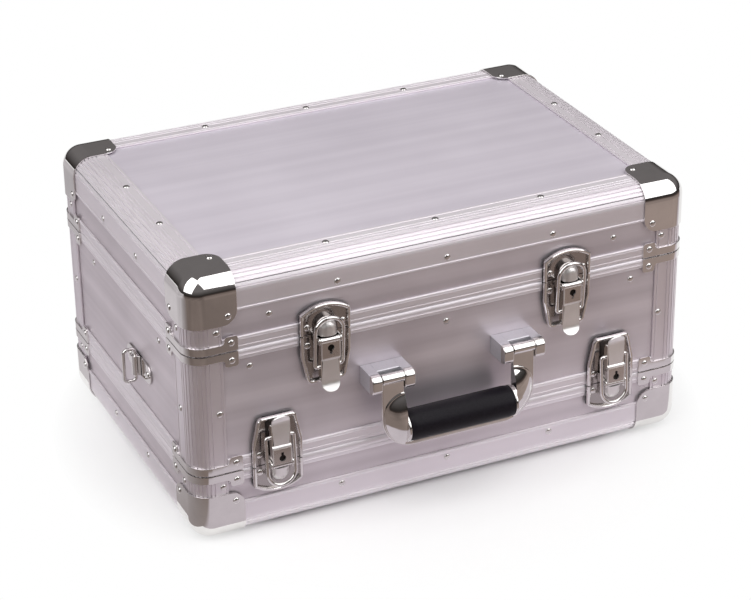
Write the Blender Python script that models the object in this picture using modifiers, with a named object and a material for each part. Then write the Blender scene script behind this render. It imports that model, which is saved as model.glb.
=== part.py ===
"""A record carrying case: a base tray, a deep body and a lid, joined at the rear by two rows of hinges.

The front, with the handle and the latches, faces -Y and the lid's top faces +Z. The origin lies on the
floor, in the middle of everything that stands out of the case. Sizes are in metres.
"""

from math import cos, pi, radians, sin, sqrt, tan

import bmesh
import bpy
from mathutils import Matrix, Vector

# Case
CASE_WIDTH = 0.500
CASE_DEPTH = 0.3406
BASE_HEIGHT = 0.0699
BODY_HEIGHT = 0.1208
LID_HEIGHT = 0.0748

# Gaps, overlaps of joined shapes, and cuts
CLEARANCE = 0.0003
OVERLAP = 0.0005
OVERRUN = 0.002
WELD_DISTANCE = 0.000002

# Panels of sheet metal glued to board
SHEET_THICKNESS = 0.0010
BOARD_THICKNESS = 0.0043
SHEET_MARGIN = 0.002
BOARD_MARGIN = 0.001
FOAM_THICKNESS = 0.012
FOAM_MARGIN = 0.001
FOAM_EDGE = 0.003

# Edge extrusions and corner posts
TRIM_WALL = 0.0016
TRIM_RADIUS = 0.018
TRIM_FLAT_LEG = 0.034
TRIM_WALL_LEG = 0.035
POST_FRONT_LEG = 0.032
POST_SIDE_LEG = 0.0364

# Rims at the seams
LID_RIM_HEIGHT = 0.0125
BODY_UPPER_RIM_HEIGHT = 0.0100
BODY_LOWER_RIM_HEIGHT = 0.0133
BASE_RIM_HEIGHT = 0.0115
RIM_WALL = 0.0013
RIM_TONGUE = 0.0030
RIM_TONGUE_WALL = 0.0020
RIM_TONGUE_GAP = 0.0004
RIM_FLANGE_SET_BACK = 0.0002

# Corner caps
CAP_REACH = 0.0485
CAP_WALL = 0.0014
CAP_LOBE_RADIUS = 0.014

# Corner braces at the seams
BRACE_PROUD = 0.0015
BRACE_SEAM_GAP = 0.0005
BRACE_FRONT_LEG = 0.048
BRACE_SIDE_LEG = 0.0535
BRACE_BAND_HEIGHT = 0.0075
BRACE_LUG_HEIGHT = 0.0145
BRACE_LUG_WIDTH = 0.013

# Rivets
RIVET_RADIUS = 0.0032
RIVET_TOP_RADIUS = 0.0019
RIVET_HEIGHT = 0.0015
RIVET_SIDES = 6
TRIM_RIVET_INSET = 0.0245
TRIM_RIVET_LEVEL = 0.0275
CAP_RIVET_INSET = 0.038
POST_RIVET_INSET = 0.027
LID_POST_RIVET_LEVEL = 0.020
BASE_POST_RIVET_LEVEL = 0.0144
LID_WALL_RIVET_LEVEL = 0.0273
BODY_WALL_RIVET_LEVEL = 0.0197
FRONT_TRIM_ROW_SHARES = (-0.43, 0.0, 0.43)
SIDE_TRIM_ROW_SHARES = (-0.26, 0.26)
LID_WALL_ROW_SHARES = (-0.69, 0.69)
BODY_FRONT_ROW_SHARES = (-0.77, 0.0, 0.77)
BODY_SIDE_ROW_SHARES = (-0.52, 0.52)
BRACE_RIVET_LEVEL_SHARE = 0.6

# Latches, drawn upright: the catch above the seam and the lever below it
UPPER_LATCH_SHARE = 0.21166
LOWER_LATCH_INSET = 0.079
LATCH_WIDTH = 0.0484
LATCH_SEAM_GAP = 0.0005
PAN_HEIGHT = 0.0048
PAN_FLOOR = 0.0015
PAN_BORDER = 0.0034
PAN_CORNER = 0.001
CATCH_SHOULDER = 0.0207
CATCH_CROWN = 0.0285
CATCH_STEPS = 6
PLATE_SHOULDER = 0.0207
PLATE_LENGTH = 0.0485
PLATE_END_WIDTH = 0.0368
PLATE_SHOULDER_RADIUS = 0.004
PLATE_END_RADIUS = 0.0055
LATCH_RIVET_OFFSET = 0.0172
CATCH_RIVET_LEVEL = 0.0070
PLATE_RIVET_LEVEL = 0.0108
DOME_WIDTH = 0.0172
DOME_LOW = 0.0012
DOME_HIGH = 0.0158
DOME_CORNER_RADIUS = 0.0070
DOME_BEVEL = 0.0025
EAR_WALL = 0.0013
EAR_LENGTH = 0.0090
EAR_HEIGHT = 0.0152
EAR_SHARES = ((0.04, 0.06), (1.0, 0.06), (1.0, 0.35), (0.72, 0.92), (0.60, 1.0), (0.15, 1.0), (0.04, 0.90))
LEVER_PIVOT_DROP = 0.0032
LEVER_PIVOT_HEIGHT = 0.0126
LEVER_WIDTH = 0.0186
LEVER_TAB_WIDTH = 0.0176
LEVER_TAB_RADIUS = 0.0085
LEVER_LENGTH = 0.0504
LEVER_FACE_HEIGHT = 0.0148
LEVER_WALL = 0.0013
LEVER_PIN_RADIUS = 0.0012
LEVER_PIN_OVERHANG = 0.0003
LEVER_TAB_SHARE = 0.76
LEVER_FACE_SHARES = (
    (0.0, 1.0), (0.365, 1.0), (0.39, 0.92), (0.74, 0.92),
    (0.82, 0.90), (0.91, 0.95), (1.0, 1.08),
)
LEVER_FLANGE_SHARES = (
    (0.05, 0.95), (0.365, 0.95), (0.39, 0.87), (0.80, 0.85),
    (0.80, 0.55), (0.72, 0.44), (0.46, 0.44), (0.05, 0.62),
)
KEYHOLE_DROP = 0.0073
KEYHOLE_RADIUS = 0.0028
KEYHOLE_SLOT_WIDTH = 0.0018
KEYHOLE_SLOT_LENGTH = 0.0042
LOCK_RADIUS = 0.0046
LOCK_LOW = 0.0050
LOCK_CAM_LOW = 0.0030
LOCK_CAM_THICKNESS = 0.0024
LOCK_CAM_LENGTH = 0.0070
LOCK_CAM_WIDTH = 0.0032
BAIL_WIRE_RADIUS = 0.0015
BAIL_SPREAD = 0.0268
BAIL_TOP = 0.0180
BAIL_TOP_HEIGHT = 0.0128
BAIL_PIVOT_DROP = 0.0305
BAIL_PIVOT_HEIGHT = 0.0090
BAIL_CROWN_HEIGHT = 0.0128
BAIL_ELBOW = 0.0016
BAIL_CROWN_STEPS = 8

# Handle
HANDLE_ARM_SPREAD = 0.132
HANDLE_ARM_WIDTH = 0.0218
HANDLE_ARM_WALL = 0.0046
HANDLE_PIVOT_RISE = 0.0704
HANDLE_PIVOT_REACH = 0.0226
HANDLE_DROP = 0.0728
HANDLE_RAIL_HEIGHT = 0.0046
HANDLE_OUTER_RADIUS = 0.032
HANDLE_INNER_RADIUS = 0.004
HANDLE_KNUCKLE_RADIUS = 0.0050
HANDLE_PIN_RADIUS = 0.0020
HANDLE_ROD_RADIUS = 0.0040
HANDLE_COLLAR_RADIUS = 0.0150
HANDLE_COLLAR_WALL = 0.0020
GRIP_RADIUS = 0.0150
GRIP_END_RADIUS = 0.0142
GRIP_END_LENGTH = 0.006
GRIP_REACH = 0.0226
GRIP_RAIL_GAP = 0.0006
BRACKET_WIDTH = 0.042
BRACKET_REACH = 0.0278
BRACKET_RISE = 0.0052
BRACKET_DROP = 0.0128
BRACKET_CORNER_RADIUS = 0.005
BRACKET_WEB_REACH = 0.0140

# Strap rings on the two ends
STRAP_RISE = 0.0511
STRAP_FORWARD = 0.033
STRAP_PLATE_LENGTH = 0.064
STRAP_PLATE_HEIGHT = 0.020
STRAP_PLATE_WALL = 0.0015
STRAP_SADDLE_WALL = 0.0015
STRAP_SADDLE_FLOOR = 0.0006
STRAP_SADDLE_FOOT = 0.0015
SADDLE_TURN = 15
STRAP_RIVET_OFFSET = 0.024
RING_WIRE_RADIUS = 0.0020
RING_HEIGHT = 0.0330
RING_REACH = 0.0115
RING_CORNER_RADIUS = 0.004

# Rear hinges
HINGE_END_GAP = 0.022
HINGE_KNUCKLES = 7
HINGE_AXIS_REACH = 0.0040
HINGE_KNUCKLE_RADIUS = 0.0032
HINGE_PIN_RADIUS = 0.0015
HINGE_LEAF_HEIGHT = 0.018
HINGE_LEAF_WALL = 0.0014
HINGE_CURL_TURN = 15
HINGE_RIVET_SHARES = (-0.92, -0.46, 0.0, 0.46, 0.92)
HINGE_RIVET_LEVEL = 0.0115

# Roundness of the meshes
TRIM_ARC_STEPS = 4
CORNER_STEPS = 3
PIN_SIDES = 8
GRIP_SIDES = 16
SHARP_ANGLE = radians(35)
FLAT_ANGLE = radians(1)

# Levels and depths that follow from the sizes above
HALF_WIDTH = CASE_WIDTH / 2
HALF_DEPTH = CASE_DEPTH / 2
LOWER_SEAM = BASE_HEIGHT
UPPER_SEAM = LOWER_SEAM + BODY_HEIGHT
HANDLE_PIVOT_LEVEL = LOWER_SEAM + HANDLE_PIVOT_RISE
HANDLE_BOTTOM_LEVEL = HANDLE_PIVOT_LEVEL - HANDLE_DROP
BRACKET_TOP_LEVEL = HANDLE_PIVOT_LEVEL + BRACKET_RISE
BRACKET_BOTTOM_LEVEL = HANDLE_PIVOT_LEVEL - BRACKET_DROP
STRAP_LEVEL = LOWER_SEAM + STRAP_RISE
CAP_PROUD = CLEARANCE + CAP_WALL
FLOOR_PLANE = CAP_PROUD
TOP_PLANE = UPPER_SEAM + LID_HEIGHT - CAP_PROUD
TRIM_END = TRIM_FLAT_LEG + CLEARANCE
POST_END = TRIM_WALL_LEG + CLEARANCE
SHEET_FACE = TRIM_WALL + CLEARANCE
SHEET_BACK = SHEET_FACE + SHEET_THICKNESS
BOARD_BACK = SHEET_BACK + BOARD_THICKNESS
RIM_INNER_FACE = BOARD_BACK + CLEARANCE
RIM_DEPTH = RIM_INNER_FACE + RIM_WALL
RIM_FLANGE_REACH = (RIM_INNER_FACE + RIM_DEPTH) / 2
RIM_STEP = RIM_TONGUE + 2 * CLEARANCE
SHEET_END = TRIM_RADIUS + SHEET_MARGIN
TRIM_INNER_RADIUS = (TRIM_RADIUS - TRIM_WALL) * cos(pi / 4 / TRIM_ARC_STEPS)
BOARD_END = TRIM_RADIUS - sqrt(TRIM_INNER_RADIUS**2 - (TRIM_RADIUS - SHEET_BACK) ** 2) + BOARD_MARGIN
BRACKET_END = (HANDLE_ARM_SPREAD + BRACKET_WIDTH) / 2
UPPER_LATCH_OFFSET = BRACKET_END + UPPER_LATCH_SHARE * (HALF_WIDTH - BRACKET_END)
LOWER_LATCH_OFFSET = HALF_WIDTH - LOWER_LATCH_INSET
HINGE_LENGTH = 2 * (HALF_WIDTH - BRACE_FRONT_LEG - HINGE_END_GAP)
SEAT_ABOVE = RIM_WALL + 2 * CLEARANCE
SEAT_BELOW = RIM_STEP + RIM_WALL + CLEARANCE
FRONT_REACH = GRIP_REACH + GRIP_RADIUS
REAR_REACH = HINGE_AXIS_REACH + HINGE_KNUCKLE_RADIUS
CASE_SHIFT = (FRONT_REACH - REAR_REACH) / 2

# Each face of the case: right, up and outward seen from outside, and how far out its plane lies
FACES = {
    "front": (Vector((1, 0, 0)), Vector((0, 0, 1)), Vector((0, -1, 0)), HALF_DEPTH),
    "rear": (Vector((-1, 0, 0)), Vector((0, 0, 1)), Vector((0, 1, 0)), HALF_DEPTH),
    "left": (Vector((0, -1, 0)), Vector((0, 0, 1)), Vector((-1, 0, 0)), HALF_WIDTH),
    "right": (Vector((0, 1, 0)), Vector((0, 0, 1)), Vector((1, 0, 0)), HALF_WIDTH),
    "top": (Vector((1, 0, 0)), Vector((0, 1, 0)), Vector((0, 0, 1)), TOP_PLANE),
    "bottom": (Vector((1, 0, 0)), Vector((0, -1, 0)), Vector((0, 0, -1)), -FLOOR_PLANE),
}
WALLS = ("front", "rear", "left", "right")
SIDES = (-1, 1)
SIDE_NAMES = {-1: "left", 1: "right"}
DEPTH_NAMES = {-1: "front", 1: "rear"}


# Working objects and the meshes taken from them
def new_collection(name):
    """An empty collection in the scene."""
    collection = bpy.data.collections.new(name)
    bpy.context.scene.collection.children.link(collection)
    return collection


def clear_scene():
    """Removes every object of the scene that the script starts in."""
    for obj in list(bpy.data.objects):
        bpy.data.objects.remove(obj)


clear_scene()
PARTS = new_collection("record_carrying_case")
CUTTERS = new_collection("record_carrying_case_cutters")


def working(data):
    """A hidden object for a mesh or curve that is still being made."""
    obj = bpy.data.objects.new("working", data)
    obj.display_type = "WIRE"
    obj.hide_render = True
    CUTTERS.objects.link(obj)
    return obj


def taken(obj):
    """The finished mesh of a working object, welded and facing out. The object is removed."""
    graph = bpy.context.evaluated_depsgraph_get()
    mesh = bpy.data.meshes.new_from_object(obj.evaluated_get(graph))
    bpy.data.objects.remove(obj)
    bm = bmesh.new()
    bm.from_mesh(mesh)
    bmesh.ops.remove_doubles(bm, verts=bm.verts, dist=WELD_DISTANCE)
    bmesh.ops.recalc_face_normals(bm, faces=bm.faces)
    bm.to_mesh(mesh)
    bm.free()
    return mesh


def placed(piece, matrix):
    """A copy of a mesh moved by a matrix, still facing out where the matrix mirrors it."""
    copy = piece.copy()
    copy.transform(matrix)
    if matrix.determinant() < 0:
        copy.flip_normals()
    return copy


def gathered(pieces):
    """One mesh that holds several which don't meet, to be joined or cut in one go."""
    bm = bmesh.new()
    for piece in pieces:
        bm.from_mesh(piece)
    mesh = bpy.data.meshes.new("gathered")
    bm.to_mesh(mesh)
    bm.free()
    return mesh


def combined(piece, tool, operation):
    """The mesh joined with, cut by, or kept only inside another one."""
    target = working(piece)
    other = working(tool)
    boolean = target.modifiers.new("combine", "BOOLEAN")
    boolean.operation = operation
    boolean.object = other
    mesh = taken(target)
    bpy.data.objects.remove(other)
    return mesh


def united(piece, *tools):
    """One solid made of several that reach into each other."""
    for tool in tools:
        piece = combined(piece, tool, "UNION")
    return piece


def cut(piece, *tools):
    """The solid with each tool's shape taken out of it."""
    for tool in tools:
        piece = combined(piece, tool, "DIFFERENCE")
    return piece


# Basic shapes
def prism(outline, low, high, holes=()):
    """A closed solid over a flat outline in XY, from one height to another."""
    curve = bpy.data.curves.new("outline", "CURVE")
    curve.dimensions = "2D"
    curve.fill_mode = "BOTH"
    curve.extrude = (high - low) / 2
    for loop in (outline, *holes):
        spline = curve.splines.new("POLY")
        spline.points.add(len(loop) - 1)
        for point, (x, y) in zip(spline.points, loop):
            point.co = (x, y, 0, 1)
        spline.use_cyclic_u = True
    mesh = taken(working(curve))
    mesh.transform(Matrix.Translation((0, 0, (low + high) / 2)))
    return mesh


def block(low, high, bevel=0.0):
    """A box between two corners, with its edges bevelled."""
    bm = bmesh.new()
    size = Vector(high) - Vector(low)
    middle = (Vector(high) + Vector(low)) / 2
    bmesh.ops.create_cube(bm, size=1, matrix=Matrix.Translation(middle) @ Matrix.Diagonal((*size, 1)))
    if bevel:
        bmesh.ops.bevel(bm, geom=bm.edges[:], offset=bevel, segments=2, profile=0.5, affect="EDGES")
    mesh = bpy.data.meshes.new("block")
    bm.to_mesh(mesh)
    bm.free()
    return mesh


def rod(radius, low, high, sides=PIN_SIDES, top_radius=None):
    """A cylinder or cone along Z."""
    bm = bmesh.new()
    bmesh.ops.create_cone(
        bm, cap_ends=True, segments=sides, depth=high - low,
        radius1=radius, radius2=radius if top_radius is None else top_radius,
        matrix=Matrix.Translation((0, 0, (low + high) / 2)),
    )
    mesh = bpy.data.meshes.new("rod")
    bm.to_mesh(mesh)
    bm.free()
    return mesh


def turned(profile, sides):
    """A ring turned about Z from a closed profile of (radius, height) points."""
    mesh = bpy.data.meshes.new("profile")
    count = len(profile)
    mesh.from_pydata([(r, 0, h) for r, h in profile], [(i, (i + 1) % count) for i in range(count)], [])
    obj = working(mesh)
    screw = obj.modifiers.new("turn", "SCREW")
    screw.steps = sides
    screw.render_steps = sides
    screw.use_merge_vertices = True
    screw.merge_threshold = WELD_DISTANCE
    return taken(obj)


def wire(points, radius, resolution, closed=False):
    """A round wire along the points."""
    curve = bpy.data.curves.new("wire", "CURVE")
    curve.dimensions = "3D"
    curve.bevel_depth = radius
    curve.bevel_resolution = resolution
    curve.use_fill_caps = not closed
    spline = curve.splines.new("POLY")
    spline.points.add(len(points) - 1)
    for point, place in zip(spline.points, points):
        point.co = (*place, 1)
    spline.use_cyclic_u = closed
    return taken(working(curve))


def circle(x, y, radius, sides=PIN_SIDES):
    """Points round a circle."""
    turns = [2 * pi * i / sides for i in range(sides)]
    return [(x + radius * cos(turn), y + radius * sin(turn)) for turn in turns]


def arc(x, y, radius, start, end, steps):
    """Points along an arc, its angles in degrees."""
    turns = [radians(start + (end - start) * i / steps) for i in range(steps + 1)]
    return [(x + radius * cos(turn), y + radius * sin(turn)) for turn in turns]


def softened(corners, steps=CORNER_STEPS):
    """An outline whose corners, given as (x, y, radius), are rounded."""
    outline = []
    for i, (x, y, radius) in enumerate(corners):
        here = Vector((x, y))
        if not radius:
            outline.append((x, y))
            continue
        back = (Vector(corners[i - 1][:2]) - here).normalized()
        ahead = (Vector(corners[(i + 1) % len(corners)][:2]) - here).normalized()
        half = back.angle(ahead) / 2
        centre = here + (back + ahead).normalized() * (radius / sin(half))
        first = here + back * (radius / tan(half)) - centre
        last = here + ahead * (radius / tan(half)) - centre
        turns = [first.slerp(last, step / steps).normalized() for step in range(steps + 1)]
        outline += [tuple(centre + turn * radius) for turn in turns]
    return outline


def angle_outline(leg_x, leg_y, radius, wall):
    """An L section with a rounded outer corner at the origin and its legs along +X and +Y."""
    outer = arc(radius, radius, radius, 270, 180, TRIM_ARC_STEPS)
    inner = arc(radius, radius, radius - wall, 180, 270, TRIM_ARC_STEPS)
    return [(leg_x, 0), *outer, (0, leg_y), (wall, leg_y), *inner, (leg_x, wall)]


# Places on the case
def columns(x_axis, y_axis, z_axis, origin):
    """A matrix that carries the three axes and the origin to where they are given."""
    return Matrix.Translation(origin) @ Matrix((x_axis, y_axis, z_axis)).transposed().to_4x4()


def on_face(face, across=0.0, up=0.0, out=0.0):
    """Carries a piece drawn as (across, up, outward) to a point of a face."""
    right, upward, outward, distance = FACES[face]
    return columns(right, upward, outward, right * across + upward * up + outward * (distance + out))


def along_face(face, level):
    """Carries a section drawn as (outward, up) to a face, to run along it."""
    right, upward, outward, distance = FACES[face]
    return columns(outward, upward, right, upward * level + outward * distance)


def corner_frame(x_side, y_side, proud=0.0, level=0.0, upward=1):
    """Carries a piece with its outer corner at the origin and its legs along +X and +Y to a case corner."""
    place = Vector((x_side * (HALF_WIDTH + proud), y_side * (HALF_DEPTH + proud), level))
    return Matrix.Translation(place) @ Matrix.Diagonal((-x_side, -y_side, upward, 1))


def at_corners(piece, proud=0.0, level=0.0, upward=1):
    """Four copies of a corner piece, one at each upright corner."""
    return gathered([placed(piece, corner_frame(x, y, proud, level, upward)) for x in SIDES for y in SIDES])


def half_length(face):
    """Half the length of the case along a face."""
    return HALF_WIDTH if face in ("front", "rear") else HALF_DEPTH


def slab(face, half_across, low, high, front, back):
    """A flat plate in a face, between two depths behind the face's plane."""
    return placed(block((-half_across, low, -back), (half_across, high, -front)), on_face(face))


# Nodes and what carries them
def material(name, colour, roughness, metallic):
    """A plain finish."""
    made = bpy.data.materials.new(name)
    made.use_nodes = True
    shader = made.node_tree.nodes["Principled BSDF"]
    shader.inputs["Base Color"].default_value = (*colour, 1)
    shader.inputs["Roughness"].default_value = roughness
    shader.inputs["Metallic"].default_value = metallic
    return made


ALUMINIUM_SHEET = ((0.62, 0.60, 0.63), 0.38, 0.9)
ALUMINIUM_TRIM = ((0.72, 0.70, 0.72), 0.30, 0.9)
CHROME = ((0.80, 0.79, 0.78), 0.08, 1.0)
STEEL = ((0.55, 0.55, 0.55), 0.25, 1.0)
BLACK_GRIP = ((0.02, 0.02, 0.025), 0.45, 0.0)
FOAM = ((0.06, 0.06, 0.065), 0.95, 0.0)


def carrier(name, place, parent=None):
    """An empty on a joint's axis. Its place is in the case's own frame."""
    empty = bpy.data.objects.new(name, None)
    empty.empty_display_size = HALF_WIDTH / 10
    empty["place"] = list(place)
    PARTS.objects.link(empty)
    if parent:
        empty.parent = parent
        empty.location = Vector(place) - Vector(parent["place"])
    return empty


def node(name, piece, finish, carried_by):
    """One named sub-part, drawn in the case's frame, with its origin on its carrier."""
    mesh = placed(piece, Matrix.Translation(-Vector(carried_by["place"])))
    mesh.name = name
    mesh.materials.clear()
    mesh.materials.append(material(name, *finish))
    mesh.shade_smooth()
    mesh.set_sharp_from_angle(angle=SHARP_ANGLE)
    obj = bpy.data.objects.new(name, mesh)
    obj.parent = carried_by
    PARTS.objects.link(obj)
    return obj


# Rivets
def rivet_head(seat=0.0):
    """A domed head along Z, sunk a little into the surface that it sits on."""
    return rod(RIVET_RADIUS, seat - OVERLAP, seat + RIVET_HEIGHT, RIVET_SIDES, RIVET_TOP_RADIUS)


def rivet(face, across, up, out):
    """One rivet head on a surface of a face."""
    return placed(rivet_head(), on_face(face, across, up, out))


def rivet_rows(faces, shares, level, out=0.0):
    """Rivets along walls, at shares of each wall's half length."""
    return [rivet(face, share * half_length(face), level, out) for face in faces for share in shares]


def corner_rivets(inset_front, inset_side, level, out=0.0):
    """A rivet near each end of every wall, at one distance from the corners."""
    insets = {"front": inset_front, "rear": inset_front, "left": inset_side, "right": inset_side}
    return [
        rivet(face, side * (half_length(face) - insets[face]), level, out)
        for face in WALLS
        for side in SIDES
    ]


def brace_rivets(seam, upward):
    """The rivets in the lugs of the braces on one side of a seam."""
    inset = BRACE_LUG_WIDTH / 2 + BRACE_PROUD
    level = seam + upward * BRACE_LUG_HEIGHT * BRACE_RIVET_LEVEL_SHARE
    return corner_rivets(BRACE_FRONT_LEG - inset, BRACE_SIDE_LEG - inset, level, BRACE_PROUD)


# Panels
def panel(face, sheet_half, sheet_span, board_half, board_span, rivets=()):
    """A metal sheet with its board glued behind it, each with a half width and a span of levels."""
    sheet = slab(face, sheet_half, *sheet_span, SHEET_FACE, SHEET_BACK + OVERLAP)
    board = slab(face, board_half, *board_span, SHEET_BACK, BOARD_BACK)
    whole = united(board, sheet)
    return united(whole, gathered(rivets)) if rivets else whole


def wall_panel(face, low, high, hidden_low=None, hidden_high=None, rivets=()):
    """A wall's panel. Its board reaches further than its sheet where it ends behind a rounded edge."""
    board_low = low if hidden_low is None else hidden_low
    board_high = high if hidden_high is None else hidden_high
    length = half_length(face)
    return panel(face, length - SHEET_END, (low, high), length - BOARD_END, (board_low, board_high), rivets)


def flat_panel(face):
    """The panel of the lid's top or of the floor."""
    sheet = HALF_DEPTH - SHEET_END
    board = HALF_DEPTH - BOARD_END
    return panel(face, HALF_WIDTH - SHEET_END, (-sheet, sheet), HALF_WIDTH - BOARD_END, (-board, board))


def foam_pad(face):
    """The foam that lines the lid's top, inside the wall boards."""
    margin = BOARD_BACK + FOAM_MARGIN
    back = BOARD_BACK + CLEARANCE
    reach = HALF_DEPTH - margin
    across = HALF_WIDTH - margin
    pad = block((-across, -reach, -back - FOAM_THICKNESS), (across, reach, -back), FOAM_EDGE)
    return placed(pad, on_face(face))


# Frames of aluminium extrusions
def edge_frame(face, upward, rivets):
    """The four rounded edges round the top or the floor, joined under the corner caps."""
    section = angle_outline(TRIM_FLAT_LEG, TRIM_WALL_LEG, TRIM_RADIUS, TRIM_WALL)
    outward_level = FACES[face][2] * FACES[face][3]
    edges = []
    for wall in WALLS:
        right, _, outward, distance = FACES[wall]
        reach = half_length(wall) - TRIM_END
        frame = columns(-outward, Vector((0, 0, upward)), right, outward * distance + outward_level)
        edges.append(placed(prism(section, -reach, reach), frame))
    middle = outward_level.z + upward * TRIM_WALL / 2
    reach = TRIM_END + OVERRUN
    half_wall = TRIM_WALL / 4
    gusset = block((TRIM_RADIUS, TRIM_RADIUS, middle - half_wall), (reach, reach, middle + half_wall))
    return united(gathered(edges), at_corners(gusset), gathered(rivets))


def rounded_rectangle(inset):
    """The case's outline seen from above, drawn in by an inset."""
    x = HALF_WIDTH - TRIM_RADIUS
    y = HALF_DEPTH - TRIM_RADIUS
    quarters = ((x, y), (-x, y), (-x, -y), (x, -y))
    outline = []
    for turn, (across, along) in enumerate(quarters):
        outline += arc(across, along, TRIM_RADIUS - inset, 90 * turn, 90 * turn + 90, TRIM_ARC_STEPS)
    return outline


def ring(outer_inset, inner_inset, level_a, level_b):
    """A band that runs right round the case between two insets and two levels."""
    low, high = sorted((level_a, level_b))
    return prism(rounded_rectangle(outer_inset), low, high, (rounded_rectangle(inner_inset),))


def rim_faces(level_a, level_b):
    """A rim's four outer walls, which show between the corner posts."""
    low, high = sorted((level_a, level_b))
    faces = []
    for face in WALLS:
        post_leg = POST_FRONT_LEG if face in ("front", "rear") else POST_SIDE_LEG
        reach = half_length(face) - post_leg - CLEARANCE
        faces.append(slab(face, reach, low, high, 0, TRIM_WALL))
    return gathered(faces)


def upper_rim(seam, height):
    """The rim above a seam, as pieces that reach into each other, with the tongue that closes it."""
    low = seam + CLEARANCE
    floor = low + RIM_WALL
    middle = low + RIM_WALL / 2
    tongue_face = TRIM_WALL + RIM_TONGUE_GAP
    return (
        ring(TRIM_WALL / 2, RIM_FLANGE_REACH, low + RIM_FLANGE_SET_BACK, floor),
        ring(RIM_INNER_FACE, RIM_DEPTH, middle, seam + height),
        ring(tongue_face, tongue_face + RIM_TONGUE_WALL, seam - RIM_TONGUE, middle),
        rim_faces(low, seam + height),
    )


def lower_rim(seam, height):
    """The rim below a seam, as pieces that reach into each other, with a step for the tongue."""
    step = seam - RIM_STEP
    return (
        ring(TRIM_WALL / 2, RIM_FLANGE_REACH, step - RIM_WALL, step),
        ring(RIM_INNER_FACE, RIM_DEPTH, seam - height, step - RIM_WALL / 2),
        rim_faces(seam - height, seam - CLEARANCE),
    )


def corner_posts(low, high):
    """The four upright rounded corners between two levels."""
    section = angle_outline(POST_FRONT_LEG, POST_SIDE_LEG, TRIM_RADIUS, TRIM_WALL)
    return at_corners(prism(section, low, high))


def corner_braces(seam, upward):
    """The bands round the corners on one side of a seam, each with a taller lug at its ends."""
    radius = TRIM_RADIUS + BRACE_PROUD
    section = angle_outline(BRACE_FRONT_LEG, BRACE_SIDE_LEG, radius, BRACE_PROUD + OVERLAP)
    strip = prism(section, 0, BRACE_LUG_HEIGHT)
    window = block(
        (-OVERRUN, -OVERRUN, BRACE_BAND_HEIGHT),
        (BRACE_FRONT_LEG - BRACE_LUG_WIDTH, BRACE_SIDE_LEG - BRACE_LUG_WIDTH, BRACE_LUG_HEIGHT + OVERRUN),
    )
    return at_corners(cut(strip, window), BRACE_PROUD, seam + upward * BRACE_SEAM_GAP, upward)


def corner_cap(flat_rivet):
    """A pressed ball corner, its outer corner at the origin, with a lobe on each face and rivets."""
    bm = bmesh.new()
    middle = Vector((CAP_REACH, CAP_REACH, CAP_REACH)) / 2
    bmesh.ops.create_cube(bm, size=CAP_REACH, matrix=Matrix.Translation(middle))
    near = min(bm.verts, key=lambda v: v.co.length)
    far = max(bm.verts, key=lambda v: v.co.length)
    roundings = (
        (list(far.link_edges), CAP_LOBE_RADIUS, CORNER_STEPS),
        (list(near.link_edges), TRIM_RADIUS + CAP_PROUD, TRIM_ARC_STEPS),
    )
    for edges, radius, steps in roundings:
        bmesh.ops.bevel(bm, geom=edges, offset=radius, segments=steps, profile=0.5, affect="EDGES")
    bm.normal_update()
    inner = [f for f in bm.faces if max(f.normal) > sin(FLAT_ANGLE)]
    bmesh.ops.delete(bm, geom=inner, context="FACES")
    mesh = bpy.data.meshes.new("cap")
    bm.to_mesh(mesh)
    bm.free()
    obj = working(mesh)
    solidify = obj.modifiers.new("wall", "SOLIDIFY")
    solidify.thickness = CAP_WALL
    solidify.offset = -1
    solidify.use_even_offset = True
    head = rivet_head()
    inset = CAP_RIVET_INSET + CAP_PROUD
    axes = [Vector((1, 0, 0)), Vector((0, 1, 0)), Vector((0, 0, 1))]
    heads = []
    for turn in range(3 if flat_rivet else 2):
        a, b, c = axes[turn + 1 - 3], axes[turn + 2 - 3], axes[turn]
        heads.append(placed(head, columns(a, b, -c, (a + b) * inset)))
    return united(taken(obj), gathered(heads))


# Latches
def upper_latches():
    """Frames of the two latches that hold the lid, with their catches above the seam."""
    return {SIDE_NAMES[side]: on_face("front", side * UPPER_LATCH_OFFSET, UPPER_SEAM) for side in SIDES}


def lower_latches():
    """Frames of the two latches that hold the base, turned with their catches below the seam."""
    half_turn = Matrix.Rotation(pi, 4, "Z")
    places = {side: on_face("front", side * LOWER_LATCH_OFFSET, LOWER_SEAM) for side in SIDES}
    return {SIDE_NAMES[side]: place @ half_turn for side, place in places.items()}


# Carries a section drawn as (up, outward) across a latch
SIDEWAYS = columns(Vector((0, 1, 0)), Vector((0, 0, 1)), Vector((1, 0, 0)), Vector((0, 0, 0)))
MIRRORED = Matrix.Diagonal((-1, 1, 1, 1))


def latch_rivets(level):
    """Two rivets on a plate of a latch, either side of the bail."""
    floor = CLEARANCE + PAN_FLOOR
    spots = [Matrix.Translation((side * LATCH_RIVET_OFFSET, level, 0)) for side in SIDES]
    return gathered([placed(rivet_head(floor), spot) for spot in spots])


def pan(outline, pocket):
    """A pressed plate with a raised border round a lower floor."""
    plate = prism(outline, CLEARANCE, PAN_HEIGHT)
    return cut(plate, prism(pocket, CLEARANCE + PAN_FLOOR, PAN_HEIGHT + OVERRUN))


def crowned(half_width, low, shoulder, crown):
    """An outline with a flat foot and an arched top."""
    rise = crown - shoulder
    radius = (half_width**2 + rise**2) / (2 * rise)
    half_turn = 180 / pi * Vector((0, 1)).angle(Vector((half_width, radius - rise)))
    top = arc(0, crown - radius, radius, 90 - half_turn, 90 + half_turn, CATCH_STEPS)
    return [(half_width, low), *top, (-half_width, low)]


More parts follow.
